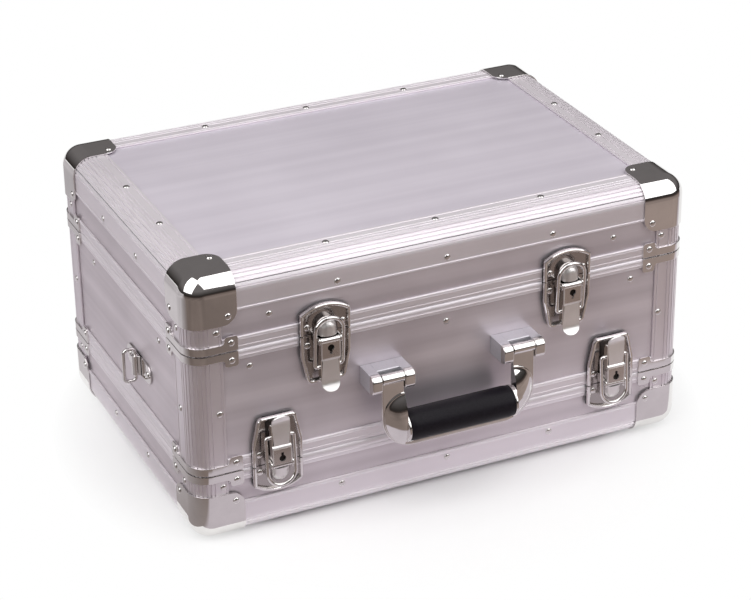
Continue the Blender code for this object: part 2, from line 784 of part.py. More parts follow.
def dome():
    """The rounded hook inside the bail, which lies behind the bail's top so that the lid can lift away."""
    top = BAIL_TOP_HEIGHT - BAIL_WIRE_RADIUS - CLEARANCE
    half = DOME_WIDTH / 2
    corners = [
        (half, DOME_LOW, 0), (half, DOME_HIGH, DOME_CORNER_RADIUS),
        (-half, DOME_HIGH, DOME_CORNER_RADIUS), (-half, DOME_LOW, 0),
    ]
    bm = bmesh.new()
    bm.from_mesh(prism(softened(corners), PAN_FLOOR, top))
    bmesh.ops.dissolve_limit(bm, angle_limit=FLAT_ANGLE, verts=bm.verts, edges=bm.edges)
    rounded = [e for e in bm.edges if all(abs(v.co.z - top) < CLEARANCE for v in e.verts)]
    bmesh.ops.bevel(bm, geom=rounded, offset=DOME_BEVEL, segments=2, profile=0.5, affect="EDGES")
    mesh = bpy.data.meshes.new("dome")
    bm.to_mesh(mesh)
    bm.free()
    return mesh


def latch_catch():
    """The upper plate of a latch with its hook and rivets."""
    half = LATCH_WIDTH / 2
    outline = crowned(half, LATCH_SEAM_GAP, CATCH_SHOULDER, CATCH_CROWN)
    pocket = crowned(half - PAN_BORDER, -OVERRUN, CATCH_SHOULDER - PAN_BORDER, CATCH_CROWN - PAN_BORDER)
    return united(pan(outline, pocket), dome(), latch_rivets(CATCH_RIVET_LEVEL))


def latch_plate():
    """The lower plate of a latch, with its rivets and the two ears that hold the lever's pin."""
    half = LATCH_WIDTH / 2
    end = PLATE_END_WIDTH / 2
    outline = softened([
        (half, -LATCH_SEAM_GAP, PAN_CORNER), (-half, -LATCH_SEAM_GAP, PAN_CORNER),
        (-half, -PLATE_SHOULDER, PLATE_SHOULDER_RADIUS), (-end, -PLATE_LENGTH, PLATE_END_RADIUS),
        (end, -PLATE_LENGTH, PLATE_END_RADIUS), (half, -PLATE_SHOULDER, PLATE_SHOULDER_RADIUS),
    ])
    pocket = [
        (half - PAN_BORDER, OVERRUN), (PAN_BORDER - half, OVERRUN), (PAN_BORDER - half, -PLATE_SHOULDER),
        (PAN_BORDER - end, PAN_BORDER - PLATE_LENGTH), (end - PAN_BORDER, PAN_BORDER - PLATE_LENGTH),
        (half - PAN_BORDER, -PLATE_SHOULDER),
    ]
    hole = circle(-LEVER_PIVOT_DROP, LEVER_PIVOT_HEIGHT, LEVER_PIN_RADIUS + CLEARANCE)
    ear_outline = [(-x * EAR_LENGTH, y * EAR_HEIGHT) for x, y in EAR_SHARES]
    low = LEVER_WIDTH / 2 + CLEARANCE
    ear = placed(prism(ear_outline, low, low + EAR_WALL, (hole,)), SIDEWAYS)
    return united(pan(outline, pocket), ear, placed(ear, MIRRORED), latch_rivets(-PLATE_RIVET_LEVEL))


def keyhole():
    """A cutter for the round hole with a slot below it."""
    centre = -LEVER_PIVOT_DROP - KEYHOLE_DROP
    half = KEYHOLE_SLOT_WIDTH / 2
    turn = 180 / pi * Vector((1, 0)).angle(Vector((sqrt(KEYHOLE_RADIUS**2 - half**2), half)))
    outline = arc(0, centre, KEYHOLE_RADIUS, turn - 90, 270 - turn, PIN_SIDES)
    outline += [(-half, centre - KEYHOLE_SLOT_LENGTH), (half, centre - KEYHOLE_SLOT_LENGTH)]
    return prism(outline, LEVER_FACE_HEIGHT - LEVER_WALL - OVERRUN, LEVER_FACE_HEIGHT + OVERRUN)


def latch_lever():
    """The bent lever with its side flanges, pivot knuckle, pin and keyhole, its thumb tab rounded."""
    face = [(-LEVER_PIVOT_DROP - x * LEVER_LENGTH, y * LEVER_FACE_HEIGHT) for x, y in LEVER_FACE_SHARES]
    back = [(v, n - LEVER_WALL) for v, n in reversed(face)]
    half = LEVER_WIDTH / 2
    tab = LEVER_TAB_WIDTH / 2
    tab_start = -LEVER_PIVOT_DROP - LEVER_TAB_SHARE * LEVER_LENGTH
    tab_end = -LEVER_PIVOT_DROP - LEVER_LENGTH - OVERLAP
    plan = softened([
        (half, OVERRUN, 0), (-half, OVERRUN, 0), (-half, tab_start, 0),
        (-tab, tab_start - (half - tab), 0), (-tab, tab_end, LEVER_TAB_RADIUS),
        (tab, tab_end, LEVER_TAB_RADIUS), (tab, tab_start - (half - tab), 0), (half, tab_start, 0),
    ], 2 * CORNER_STEPS)
    sheet = placed(prism(face + back, -half - OVERRUN, half + OVERRUN), SIDEWAYS)
    sheet = combined(sheet, prism(plan, 0, 2 * LEVER_FACE_HEIGHT), "INTERSECT")
    side = [(-LEVER_PIVOT_DROP - x * LEVER_LENGTH, y * LEVER_FACE_HEIGHT) for x, y in LEVER_FLANGE_SHARES]
    hole = circle(-BAIL_PIVOT_DROP, BAIL_PIVOT_HEIGHT, BAIL_WIRE_RADIUS + CLEARANCE)
    flange = placed(prism(side, half - LEVER_WALL, half - CLEARANCE / 4, (hole,)), SIDEWAYS)
    to_pivot = SIDEWAYS @ Matrix.Translation((-LEVER_PIVOT_DROP, LEVER_PIVOT_HEIGHT, 0))
    knuckle_radius = LEVER_FACE_HEIGHT - LEVER_PIVOT_HEIGHT
    knuckle = placed(rod(knuckle_radius, CLEARANCE - half, half - CLEARANCE), to_pivot)
    reach = half + CLEARANCE + EAR_WALL + LEVER_PIN_OVERHANG
    pin = placed(rod(LEVER_PIN_RADIUS, -reach, reach), to_pivot)
    return cut(united(sheet, flange, placed(flange, MIRRORED), knuckle, pin), keyhole())


def latch_lock():
    """The lock's barrel behind the keyhole, with its cam."""
    top = LEVER_FACE_HEIGHT - LEVER_WALL - CLEARANCE
    barrel = rod(LOCK_RADIUS, LOCK_LOW, top)
    half = LOCK_CAM_WIDTH / 2
    cam = block((-half, -half, LOCK_CAM_LOW), (LOCK_CAM_LENGTH, half, LOCK_CAM_LOW + LOCK_CAM_THICKNESS))
    return placed(united(barrel, cam), Matrix.Translation((0, -LEVER_PIVOT_DROP - KEYHOLE_DROP, 0)))


def latch_bail():
    """The wire loop that the lever draws over the catch. Its ends turn in through the lever's flanges."""
    half = BAIL_SPREAD / 2
    slope = (BAIL_TOP_HEIGHT - BAIL_PIVOT_HEIGHT) / (BAIL_TOP + BAIL_PIVOT_DROP)
    spring = BAIL_TOP - BAIL_CROWN_HEIGHT
    turns = [pi * i / BAIL_CROWN_STEPS for i in range(BAIL_CROWN_STEPS + 1)]
    crown = [(half * cos(turn), spring + BAIL_CROWN_HEIGHT * sin(turn)) for turn in turns]
    end = LEVER_WIDTH / 2 - LEVER_WALL - CLEARANCE
    foot = [
        (end, -BAIL_PIVOT_DROP), (half - BAIL_ELBOW, -BAIL_PIVOT_DROP),
        (half, -BAIL_PIVOT_DROP + BAIL_ELBOW),
    ]
    route = foot + crown + [(-u, v) for u, v in reversed(foot)]
    points = [(u, v, BAIL_PIVOT_HEIGHT + (v + BAIL_PIVOT_DROP) * slope) for u, v in route]
    return wire(points, BAIL_WIRE_RADIUS, 2)


def build_latch(frame, name, body):
    """The moving pieces of one latch: lever, bail and lock, each on its own axis."""
    lever_axis = frame @ Vector((0, -LEVER_PIVOT_DROP, LEVER_PIVOT_HEIGHT))
    bail_axis = frame @ Vector((0, -BAIL_PIVOT_DROP, BAIL_PIVOT_HEIGHT))
    lock_axis = frame @ Vector((0, -LEVER_PIVOT_DROP - KEYHOLE_DROP, LEVER_FACE_HEIGHT))
    lever_carrier = carrier(f"{name}_lever_axis", lever_axis, body)
    bail_carrier = carrier(f"{name}_bail_axis", bail_axis, lever_carrier)
    lock_carrier = carrier(f"{name}_lock_axis", lock_axis, lever_carrier)
    node(f"latch_lever_{name}", placed(latch_lever(), frame), CHROME, lever_carrier)
    node(f"latch_bail_{name}", placed(latch_bail(), frame), CHROME, bail_carrier)
    node(f"latch_lock_{name}", placed(latch_lock(), frame), STEEL, lock_carrier)


# Handle
def at_arm(side):
    """Carries a piece drawn as (outward, up) across to one arm of the handle."""
    return Matrix.Translation((side * HANDLE_ARM_SPREAD / 2, 0, 0)) @ along_face("front", 0)


def handle_bracket():
    """One bracket with two ears, a web behind the arm and the pin across them."""
    back = CLEARANCE - SHEET_FACE
    outline = softened([
        (back, BRACKET_BOTTOM_LEVEL, 0), (BRACKET_REACH, BRACKET_BOTTOM_LEVEL, BRACKET_CORNER_RADIUS),
        (BRACKET_REACH, BRACKET_TOP_LEVEL, BRACKET_CORNER_RADIUS), (back, BRACKET_TOP_LEVEL, 0),
    ])
    half = BRACKET_WIDTH / 2
    slot_half = HANDLE_ARM_WIDTH / 2 + CLEARANCE
    slot = block(
        (BRACKET_WEB_REACH, BRACKET_BOTTOM_LEVEL - OVERRUN, -slot_half),
        (BRACKET_REACH + OVERRUN, BRACKET_TOP_LEVEL + OVERRUN, slot_half),
    )
    pin_half = (slot_half + half) / 2
    spot = Matrix.Translation((HANDLE_PIVOT_REACH, HANDLE_PIVOT_LEVEL, 0))
    pin = placed(rod(HANDLE_PIN_RADIUS, -pin_half, pin_half), spot)
    return united(cut(prism(outline, -half, half), slot), pin)


def grip_frame():
    """Carries a piece turned about Z to the grip's axis."""
    level = HANDLE_BOTTOM_LEVEL + HANDLE_RAIL_HEIGHT + GRIP_RAIL_GAP + GRIP_RADIUS
    place = Vector((0, -HALF_DEPTH - GRIP_REACH, level))
    return columns(Vector((0, 0, 1)), Vector((0, 1, 0)), Vector((-1, 0, 0)), place)


def handle_frame():
    """The U frame with a knuckle on each arm, and the rod and collars that hold the grip."""
    outer = (HANDLE_ARM_SPREAD + HANDLE_ARM_WIDTH) / 2
    inner = (HANDLE_ARM_SPREAD - HANDLE_ARM_WIDTH) / 2
    top = HANDLE_PIVOT_LEVEL - HANDLE_PIN_RADIUS - 2 * CLEARANCE
    rail_top = HANDLE_BOTTOM_LEVEL + HANDLE_RAIL_HEIGHT
    outline = softened([
        (-outer, top, 0), (-outer, HANDLE_BOTTOM_LEVEL, HANDLE_OUTER_RADIUS),
        (outer, HANDLE_BOTTOM_LEVEL, HANDLE_OUTER_RADIUS), (outer, top, 0),
        (inner, top, 0), (inner, rail_top, HANDLE_INNER_RADIUS),
        (-inner, rail_top, HANDLE_INNER_RADIUS), (-inner, top, 0),
    ], 2 * CORNER_STEPS)
    low = HANDLE_PIVOT_REACH - HANDLE_ARM_WALL / 2
    frame = placed(prism(outline, low, low + HANDLE_ARM_WALL), on_face("front"))
    half = HANDLE_ARM_WIDTH / 2 - CLEARANCE / 2
    knuckle_ring = circle(HANDLE_PIVOT_REACH, HANDLE_PIVOT_LEVEL, HANDLE_KNUCKLE_RADIUS, GRIP_SIDES)
    bore = circle(HANDLE_PIVOT_REACH, HANDLE_PIVOT_LEVEL, HANDLE_PIN_RADIUS + CLEARANCE)
    knuckle = prism(knuckle_ring, -half, half, (bore,))
    collars = []
    for side in SIDES:
        ends = sorted((side * (inner + OVERLAP), side * (inner - HANDLE_COLLAR_WALL)))
        collars.append(rod(HANDLE_COLLAR_RADIUS, *ends, GRIP_SIDES))
    bar = rod(HANDLE_ROD_RADIUS, -inner, inner)
    knuckles = gathered([placed(knuckle, at_arm(side)) for side in SIDES])
    return united(frame, knuckles, placed(gathered(collars), grip_frame()), placed(bar, grip_frame()))


def handle_grip():
    """The round grip, a sleeve on the frame's rod."""
    end = (HANDLE_ARM_SPREAD - HANDLE_ARM_WIDTH) / 2 - HANDLE_COLLAR_WALL - CLEARANCE
    bore = HANDLE_ROD_RADIUS + CLEARANCE
    swell = end - GRIP_END_LENGTH
    profile = [
        (bore, end), (GRIP_END_RADIUS, end), (GRIP_RADIUS, swell),
        (GRIP_RADIUS, -swell), (GRIP_END_RADIUS, -end), (bore, -end),
    ]
    return placed(turned(profile, GRIP_SIDES), grip_frame())


# Strap rings
def strap_base():
    """How far out the back of a strap plate lies."""
    return CLEARANCE - SHEET_FACE


def strap_axis_out():
    """How far out a ring's upright wire lies."""
    return strap_base() + STRAP_PLATE_WALL + STRAP_SADDLE_FLOOR + RING_WIRE_RADIUS + CLEARANCE


def strap_frame(face):
    """Carries a piece drawn as (across, outward, up) to a ring's place."""
    right, upward, outward, distance = FACES[face]
    place = Vector((0, -STRAP_FORWARD, STRAP_LEVEL)) + outward * distance
    return columns(right, outward, upward, place)


def strap_plate():
    """A riveted plate whose middle bulges round the ring's wire, drawn as (across, outward)."""
    base = strap_base()
    face = base + STRAP_PLATE_WALL
    half = STRAP_PLATE_LENGTH / 2
    half_height = STRAP_PLATE_HEIGHT / 2
    axis = strap_axis_out()
    outer = RING_WIRE_RADIUS + CLEARANCE + STRAP_SADDLE_WALL
    saddle = arc(0, axis, outer, -SADDLE_TURN, 180 + SADDLE_TURN, 2 * CORNER_STEPS)
    foot = outer + STRAP_SADDLE_FOOT
    near_side = [(-half, base), (half, base), (half, face), (foot, face)]
    outline = near_side + saddle + [(-foot, face), (-half, face)]
    hole = circle(0, axis, RING_WIRE_RADIUS + CLEARANCE)
    head = rivet_head()
    right, down, outward = Vector((1, 0, 0)), Vector((0, 0, -1)), Vector((0, 1, 0))
    spots = [right * side * STRAP_RIVET_OFFSET + outward * face for side in SIDES]
    heads = [placed(head, columns(right, down, outward, spot)) for spot in spots]
    return united(prism(outline, -half_height, half_height, (hole,)), gathered(heads))


def strap_ring():
    """The rectangular wire ring, straight out from its upright side."""
    near = strap_axis_out()
    half = RING_HEIGHT / 2
    far = near + RING_REACH
    radius = RING_CORNER_RADIUS
    corners = ((near, -half), (far, -half), (far, half), (near, half))
    route = softened([(n, v, radius) for n, v in corners])
    return wire([(0, n, v) for n, v in route], RING_WIRE_RADIUS, 1, closed=True)


# Hinges
def hinge_leaf(carries_pin):
    """A long leaf above its seam. Its knuckles alternate with its partner's."""
    low = CLEARANCE
    high = CLEARANCE + HINGE_LEAF_WALL
    meet = sqrt(HINGE_KNUCKLE_RADIUS**2 - (HINGE_AXIS_REACH - high) ** 2)
    start = 180 / pi * Vector((1, 0)).angle(Vector((high - HINGE_AXIS_REACH, meet)))
    end = HINGE_CURL_TURN - 180
    knuckle = arc(HINGE_AXIS_REACH, 0, HINGE_KNUCKLE_RADIUS, start, end, 2 * TRIM_ARC_STEPS)
    outline = [(low, HINGE_LEAF_HEIGHT), (high, HINGE_LEAF_HEIGHT), *knuckle, (low, 2 * CLEARANCE)]
    hole = circle(HINGE_AXIS_REACH, 0, HINGE_PIN_RADIUS + CLEARANCE)
    half = HINGE_LENGTH / 2
    leaf = prism(outline, -half, half, () if carries_pin else (hole,))
    step = HINGE_LENGTH / HINGE_KNUCKLES
    out = HINGE_AXIS_REACH + HINGE_KNUCKLE_RADIUS + OVERRUN
    below = -HINGE_KNUCKLE_RADIUS - OVERRUN
    notch_top = HINGE_KNUCKLE_RADIUS - CLEARANCE
    plate_gaps = []
    knuckle_gaps = []
    for i in range(1 if carries_pin else 0, HINGE_KNUCKLES, 2):
        near = -half + i * step - (CLEARANCE if i else OVERRUN)
        far = -half + (i + 1) * step + (CLEARANCE if i + 1 < HINGE_KNUCKLES else OVERRUN)
        plate_gaps.append(block((-OVERRUN, below, near), (out, notch_top, far)))
        knuckle_gaps.append(block((high + CLEARANCE, below, near), (out, -below, far)))
    head = rivet_head()
    up, along, away = Vector((0, 1, 0)), Vector((0, 0, 1)), Vector((1, 0, 0))
    spots = [Vector((high, HINGE_RIVET_LEVEL, share * half)) for share in HINGE_RIVET_SHARES]
    leaf = cut(leaf, gathered(plate_gaps), gathered(knuckle_gaps))
    leaf = united(leaf, gathered([placed(head, columns(up, along, away, spot)) for spot in spots]))
    if not carries_pin:
        return leaf
    pin = rod(HINGE_PIN_RADIUS, CLEARANCE - half, half - CLEARANCE)
    return united(leaf, placed(pin, Matrix.Translation((HINGE_AXIS_REACH, 0, 0))))


def placed_leaf(seam, upward, carries_pin):
    """A leaf on one side of a seam."""
    return placed(hinge_leaf(carries_pin), along_face("rear", seam) @ Matrix.Diagonal((1, upward, 1, 1)))


# Assembly
def build_caps(section, level, upward, carried_by):
    """The four ball corners of the lid or the base."""
    cap = corner_cap(flat_rivet=upward < 0)
    for x in SIDES:
        for y in SIDES:
            name = f"{section}_corner_cap_{DEPTH_NAMES[y]}_{SIDE_NAMES[x]}"
            node(name, placed(cap, corner_frame(x, y, CAP_PROUD, level, upward)), CHROME, carried_by)


def lid_edge_rivets():
    """Rivets along the lid's edge extrusions, on top and on the walls."""
    front = HALF_DEPTH - TRIM_RIVET_INSET
    side = HALF_WIDTH - TRIM_RIVET_INSET
    spots = [(share * HALF_WIDTH, y * front) for share in FRONT_TRIM_ROW_SHARES for y in SIDES]
    spots += [(x * side, share * HALF_DEPTH) for share in SIDE_TRIM_ROW_SHARES for x in SIDES]
    heads = [rivet("top", across, up, 0) for across, up in spots]
    return heads + wall_edge_rivets(TOP_PLANE - TRIM_RIVET_LEVEL)


def wall_edge_rivets(level):
    """Rivets along the wall legs of edge extrusions."""
    heads = rivet_rows(("front", "rear"), FRONT_TRIM_ROW_SHARES, level)
    return heads + rivet_rows(("left", "right"), SIDE_TRIM_ROW_SHARES, level)


def lid_rim_frame():
    """The lid's corner posts, rim and braces, joined."""
    posts = corner_posts(UPPER_SEAM + CLEARANCE, TOP_PLANE - POST_END)
    heads = brace_rivets(UPPER_SEAM, 1)
    heads += corner_rivets(POST_RIVET_INSET, POST_RIVET_INSET, UPPER_SEAM + LID_POST_RIVET_LEVEL)
    rim = upper_rim(UPPER_SEAM, LID_RIM_HEIGHT)
    return united(posts, *rim, corner_braces(UPPER_SEAM, 1), gathered(heads))


def body_frame():
    """The body's corner posts, its two rims and its braces, joined."""
    posts = corner_posts(LOWER_SEAM + CLEARANCE, UPPER_SEAM - CLEARANCE)
    heads = brace_rivets(UPPER_SEAM, -1) + brace_rivets(LOWER_SEAM, 1)
    heads += corner_rivets(POST_RIVET_INSET, POST_RIVET_INSET, (UPPER_SEAM + LOWER_SEAM) / 2)
    rims = lower_rim(UPPER_SEAM, BODY_UPPER_RIM_HEIGHT) + upper_rim(LOWER_SEAM, BODY_LOWER_RIM_HEIGHT)
    braces = (corner_braces(UPPER_SEAM, -1), corner_braces(LOWER_SEAM, 1))
    return united(posts, *rims, *braces, gathered(heads))


def base_rim_frame():
    """The base's corner posts, rim and braces, joined."""
    posts = corner_posts(FLOOR_PLANE + POST_END, LOWER_SEAM - CLEARANCE)
    heads = brace_rivets(LOWER_SEAM, -1)
    heads += corner_rivets(POST_RIVET_INSET, POST_RIVET_INSET, LOWER_SEAM - BASE_POST_RIVET_LEVEL)
    rim = lower_rim(LOWER_SEAM, BASE_RIM_HEIGHT)
    return united(posts, *rim, corner_braces(LOWER_SEAM, -1), gathered(heads))


def build_lid(carried_by):
    """Everything that lifts with the lid."""
    low = UPPER_SEAM + SEAT_ABOVE
    high = TOP_PLANE - SHEET_END
    hidden_high = TOP_PLANE - BOARD_END
    rivet_level = UPPER_SEAM + LID_WALL_RIVET_LEVEL
    node("lid_top_panel", flat_panel("top"), ALUMINIUM_SHEET, carried_by)
    for face in WALLS:
        shares = LID_WALL_ROW_SHARES if face in ("front", "rear") else ()
        heads = rivet_rows((face,), shares, rivet_level, -SHEET_FACE)
        whole = wall_panel(face, low, high, hidden_high=hidden_high, rivets=heads)
        node(f"lid_{face}_panel", whole, ALUMINIUM_SHEET, carried_by)
    node("lid_foam", foam_pad("top"), FOAM, carried_by)
    node("lid_edge_frame", edge_frame("top", -1, lid_edge_rivets()), ALUMINIUM_TRIM, carried_by)
    node("lid_rim_frame", lid_rim_frame(), ALUMINIUM_TRIM, carried_by)
    build_caps("lid", TOP_PLANE + CAP_PROUD, -1, carried_by)
    for side, frame in upper_latches().items():
        node(f"latch_catch_upper_{side}", placed(latch_catch(), frame), CHROME, carried_by)
    node("hinge_leaf_lid", placed_leaf(UPPER_SEAM, 1, False), CHROME, carried_by)


def build_body(carried_by):
    """Everything fixed to the middle section."""
    low = LOWER_SEAM + SEAT_ABOVE
    high = UPPER_SEAM - SEAT_BELOW
    for face in WALLS:
        shares = BODY_FRONT_ROW_SHARES if face in ("front", "rear") else BODY_SIDE_ROW_SHARES
        heads = rivet_rows((face,), shares, UPPER_SEAM - BODY_WALL_RIVET_LEVEL, -SHEET_FACE)
        node(f"body_{face}_panel", wall_panel(face, low, high, rivets=heads), ALUMINIUM_SHEET, carried_by)
    node("body_frame", body_frame(), ALUMINIUM_TRIM, carried_by)
    for row, frames in (("upper", upper_latches()), ("lower", lower_latches())):
        for side, frame in frames.items():
            node(f"latch_plate_{row}_{side}", placed(latch_plate(), frame), CHROME, carried_by)
    node("hinge_leaf_body_upper", placed_leaf(UPPER_SEAM, -1, True), CHROME, carried_by)
    node("hinge_leaf_body_lower", placed_leaf(LOWER_SEAM, 1, True), CHROME, carried_by)
    for side in SIDES:
        bracket = placed(handle_bracket(), at_arm(side))
        node(f"handle_bracket_{SIDE_NAMES[side]}", bracket, CHROME, carried_by)
    for face in ("left", "right"):
        node(f"strap_plate_{face}", placed(strap_plate(), strap_frame(face)), CHROME, carried_by)


def build_base(carried_by):
    """The tray that stands on the floor."""
    low = FLOOR_PLANE + SHEET_END
    high = LOWER_SEAM - SEAT_BELOW
    hidden_low = FLOOR_PLANE + BOARD_END
    node("base_floor_panel", flat_panel("bottom"), ALUMINIUM_SHEET, carried_by)
    for face in WALLS:
        whole = wall_panel(face, low, high, hidden_low=hidden_low)
        node(f"base_{face}_panel", whole, ALUMINIUM_SHEET, carried_by)
    heads = wall_edge_rivets(FLOOR_PLANE + TRIM_RIVET_LEVEL)
    node("base_edge_frame", edge_frame("bottom", 1, heads), ALUMINIUM_TRIM, carried_by)
    node("base_rim_frame", base_rim_frame(), ALUMINIUM_TRIM, carried_by)
    build_caps("base", 0, 1, carried_by)
    for side, frame in lower_latches().items():
        node(f"latch_catch_lower_{side}", placed(latch_catch(), frame), CHROME, carried_by)
    node("hinge_leaf_base", placed_leaf(LOWER_SEAM, -1, False), CHROME, carried_by)


def build_case():
    """The whole case, closed, with the handle hanging down and the latches shut."""
    case = carrier("case_frame", (0, 0, 0))
    case.location = (0, CASE_SHIFT, 0)
    hinge_y = HALF_DEPTH + HINGE_AXIS_REACH
    body = carrier("body_hinge_axis", (0, hinge_y, LOWER_SEAM), case)
    lid = carrier("lid_hinge_axis", (0, hinge_y, UPPER_SEAM), body)
    handle = carrier("handle_axis", (0, -HALF_DEPTH - HANDLE_PIVOT_REACH, HANDLE_PIVOT_LEVEL), body)
    build_base(case)
    build_body(body)
    build_lid(lid)
    node("handle_frame", handle_frame(), CHROME, handle)
    node("handle_grip", handle_grip(), BLACK_GRIP, handle)
    for face in ("left", "right"):
        frame = strap_frame(face)
        ring_carrier = carrier(f"strap_ring_{face}_axis", frame @ Vector((0, strap_axis_out(), 0)), body)
        node(f"strap_ring_{face}", placed(strap_ring(), frame), CHROME, ring_carrier)
    for row, frames in (("upper", upper_latches()), ("lower", lower_latches())):
        for side, frame in frames.items():
            build_latch(frame, f"{row}_{side}", body)


def drop_unused():
    """Removes the meshes, curves and materials that no object uses."""
    for store in (bpy.data.meshes, bpy.data.curves, bpy.data.materials):
        for unused in [data for data in store if not data.users]:
            store.remove(unused)


build_case()
drop_unused()
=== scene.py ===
"""Looks of the record carrying case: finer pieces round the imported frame, finishes, studio and camera."""
from math import asin, cos, degrees, pi, radians, sin, tan

import bmesh
import bpy
from mathutils import Matrix, Vector


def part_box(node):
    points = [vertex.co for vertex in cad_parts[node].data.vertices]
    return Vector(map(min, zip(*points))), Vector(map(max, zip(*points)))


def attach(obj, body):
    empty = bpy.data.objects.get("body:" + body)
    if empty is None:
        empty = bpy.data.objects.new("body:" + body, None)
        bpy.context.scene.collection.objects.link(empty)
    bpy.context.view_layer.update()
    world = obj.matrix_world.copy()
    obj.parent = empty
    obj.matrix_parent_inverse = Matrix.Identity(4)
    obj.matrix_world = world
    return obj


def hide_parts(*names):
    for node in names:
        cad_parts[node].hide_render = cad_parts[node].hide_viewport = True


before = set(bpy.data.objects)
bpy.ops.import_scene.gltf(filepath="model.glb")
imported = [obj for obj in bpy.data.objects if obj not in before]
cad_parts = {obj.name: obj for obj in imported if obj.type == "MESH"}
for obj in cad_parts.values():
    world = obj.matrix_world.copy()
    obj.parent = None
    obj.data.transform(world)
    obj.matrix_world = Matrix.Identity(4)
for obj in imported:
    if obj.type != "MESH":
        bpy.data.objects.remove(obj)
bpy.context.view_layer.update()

# Sizes in millimetres, in the case's own frame, as the solids have them
SHIFT = 15.2
HALF_WIDTH = 250.0
HALF_DEPTH = 170.3
LOWER_SEAM = 69.9
UPPER_SEAM = 190.7
FLOOR_PLANE = 1.7
TOP_PLANE = 263.8
GAP = 0.3
TRIM_WALL = 1.6
TRIM_RADIUS = 18.0
FLAT_LEG = 34.0
WALL_LEG = 35.0
POST_LEGS = {"front": 32.0, "rear": 32.0, "left": 36.4, "right": 36.4}
SHEET_FACE = 1.9
SHEET_BACK = 2.9
BOARD_BACK = 7.2
RIM_INNER = 7.5
RIM_DEPTH = 8.8
CAP_PROUD = 1.7
CAP_REACH = 48.5
CAP_WALL = 1.4
CAP_LOBE = 14.0
CAP_EDGE = 0.45
CAP_RIVET_PLACE = 38
BRACE_PROUD = 1.5
BRACE_WALL = 1.7
BRACE_EDGE = 0.45
BRACE_OFFSET = 0.5
BRACE_FRONT_LEG = 48.0
BRACE_SIDE_LEG = 53.5
BRACE_BAND = 7.5
BRACE_LUG = 14.5
BRACE_LUG_WIDTH = 13.0
RIVET_RADIUS = 3.2
RIVET_HEIGHT = 1.5
POST_RIVET_INSETS = {"x": 27, "y": 27}

TO_WORLD = Matrix.Translation((0, SHIFT / 1000, 0)) @ Matrix.Scale(0.001, 4)
HERE = Matrix()
X, Y, Z = Vector((1, 0, 0)), Vector((0, 1, 0)), Vector((0, 0, 1))
FACES = {
    "front": (X, Z, -Y, HALF_DEPTH),
    "rear": (-X, Z, Y, HALF_DEPTH),
    "left": (-Y, Z, -X, HALF_WIDTH),
    "right": (Y, Z, X, HALF_WIDTH),
    "top": (X, Y, Z, TOP_PLANE),
    "bottom": (X, -Y, -Z, -FLOOR_PLANE),
}
WALLS = ("front", "rear", "left", "right")
SIDES = (-1, 1)
SIDE_NAMES = {-1: "left", 1: "right"}
DEPTH_NAMES = {-1: "front", 1: "rear"}


# Meshes
def to_mesh(bm, name="part", turned_out=True):
    """The mesh of a bmesh, which is freed, with its faces turned outward if asked for."""
    mesh = bpy.data.meshes.new(name)
    if turned_out:
        bmesh.ops.recalc_face_normals(bm, faces=bm.faces)
    bm.to_mesh(mesh)
    bm.free()
    return mesh


def added(name, data):
    """A new object in the scene."""
    obj = bpy.data.objects.new(name, data)
    bpy.context.scene.collection.objects.link(obj)
    return obj


def bridged(bm, low, high, closed=True):
    """Faces between two rows of points."""
    for i in range(len(low) if closed else len(low) - 1):
        j = (i + 1) % len(low)
        bm.faces.new((low[i], low[j], high[j], high[i]))


def stacked(loops):
    """A closed form through loops of points, from its floor to its top."""
    bm = bmesh.new()
    rows = [[bm.verts.new(point) for point in loop] for loop in loops]
    for low, high in zip(rows, rows[1:]):
        bridged(bm, low, high)
    bm.faces.new(rows[0][::-1])
    bm.faces.new(rows[-1])
    return to_mesh(bm)


def applied(mesh, *modifiers):
    """The mesh after modifiers, each given as (type, settings)."""
    obj = added("working", mesh)
    for kind, settings in modifiers:
        modifier = obj.modifiers.new(kind.lower(), kind)
        for key, value in settings.items():
            setattr(modifier, key, value)
    graph = bpy.context.evaluated_depsgraph_get()
    made = bpy.data.meshes.new_from_object(obj.evaluated_get(graph))
    bpy.data.objects.remove(obj)
    return made


def cut_by(mesh, tool):
    """The mesh with a tool's shape taken out of it."""
    other = added("tool", tool)
    made = applied(mesh, ("BOOLEAN", {"operation": "DIFFERENCE", "object": other}))
    bpy.data.objects.remove(other)
    return made


def arc(x, y, radius, start, end, steps):
    """Points along an arc, its angles in degrees."""
    turns = [radians(start + (end - start) * i / steps) for i in range(steps + 1)]
    return [(x + radius * cos(turn), y + radius * sin(turn)) for turn in turns]


def softened(corners, steps=6, closed=True):
    """An outline whose corners, given as (x, y, radius), are rounded."""
    outline = []
    count = len(corners)
    for i, (x, y, radius) in enumerate(corners):
        here = Vector((x, y))
        if not radius or (not closed and i in (0, count - 1)):
            outline.append((x, y))
            continue
        back = (Vector(corners[i - 1][:2]) - here).normalized()
        ahead = (Vector(corners[(i + 1) % count][:2]) - here).normalized()
        half = back.angle(ahead) / 2
        centre = here + (back + ahead).normalized() * (radius / sin(half))
        first = here + back * (radius / tan(half)) - centre
        last = here + ahead * (radius / tan(half)) - centre
        turns = [first.slerp(last, step / steps).normalized() for step in range(steps + 1)]
        outline += [tuple(centre + turn * radius) for turn in turns]
    return outline


def inset(points, amount, closed=True):
    """The outline drawn in to the left of its direction by an amount, corner by corner."""
    count = len(points)
    made = []
    for i, point in enumerate(points):
        here = Vector(point)
        ways = []
        if closed or i > 0:
            ways.append((here - Vector(points[i - 1])).normalized())
        if closed or i < count - 1:
            ways.append((Vector(points[(i + 1) % count]) - here).normalized())
        normals = [Vector((-way.y, way.x)) for way in ways]
        middle = sum(normals, Vector((0, 0))).normalized()
        made.append(tuple(here + middle * (amount / max(middle.dot(normals[0]), 0.35))))
    return made


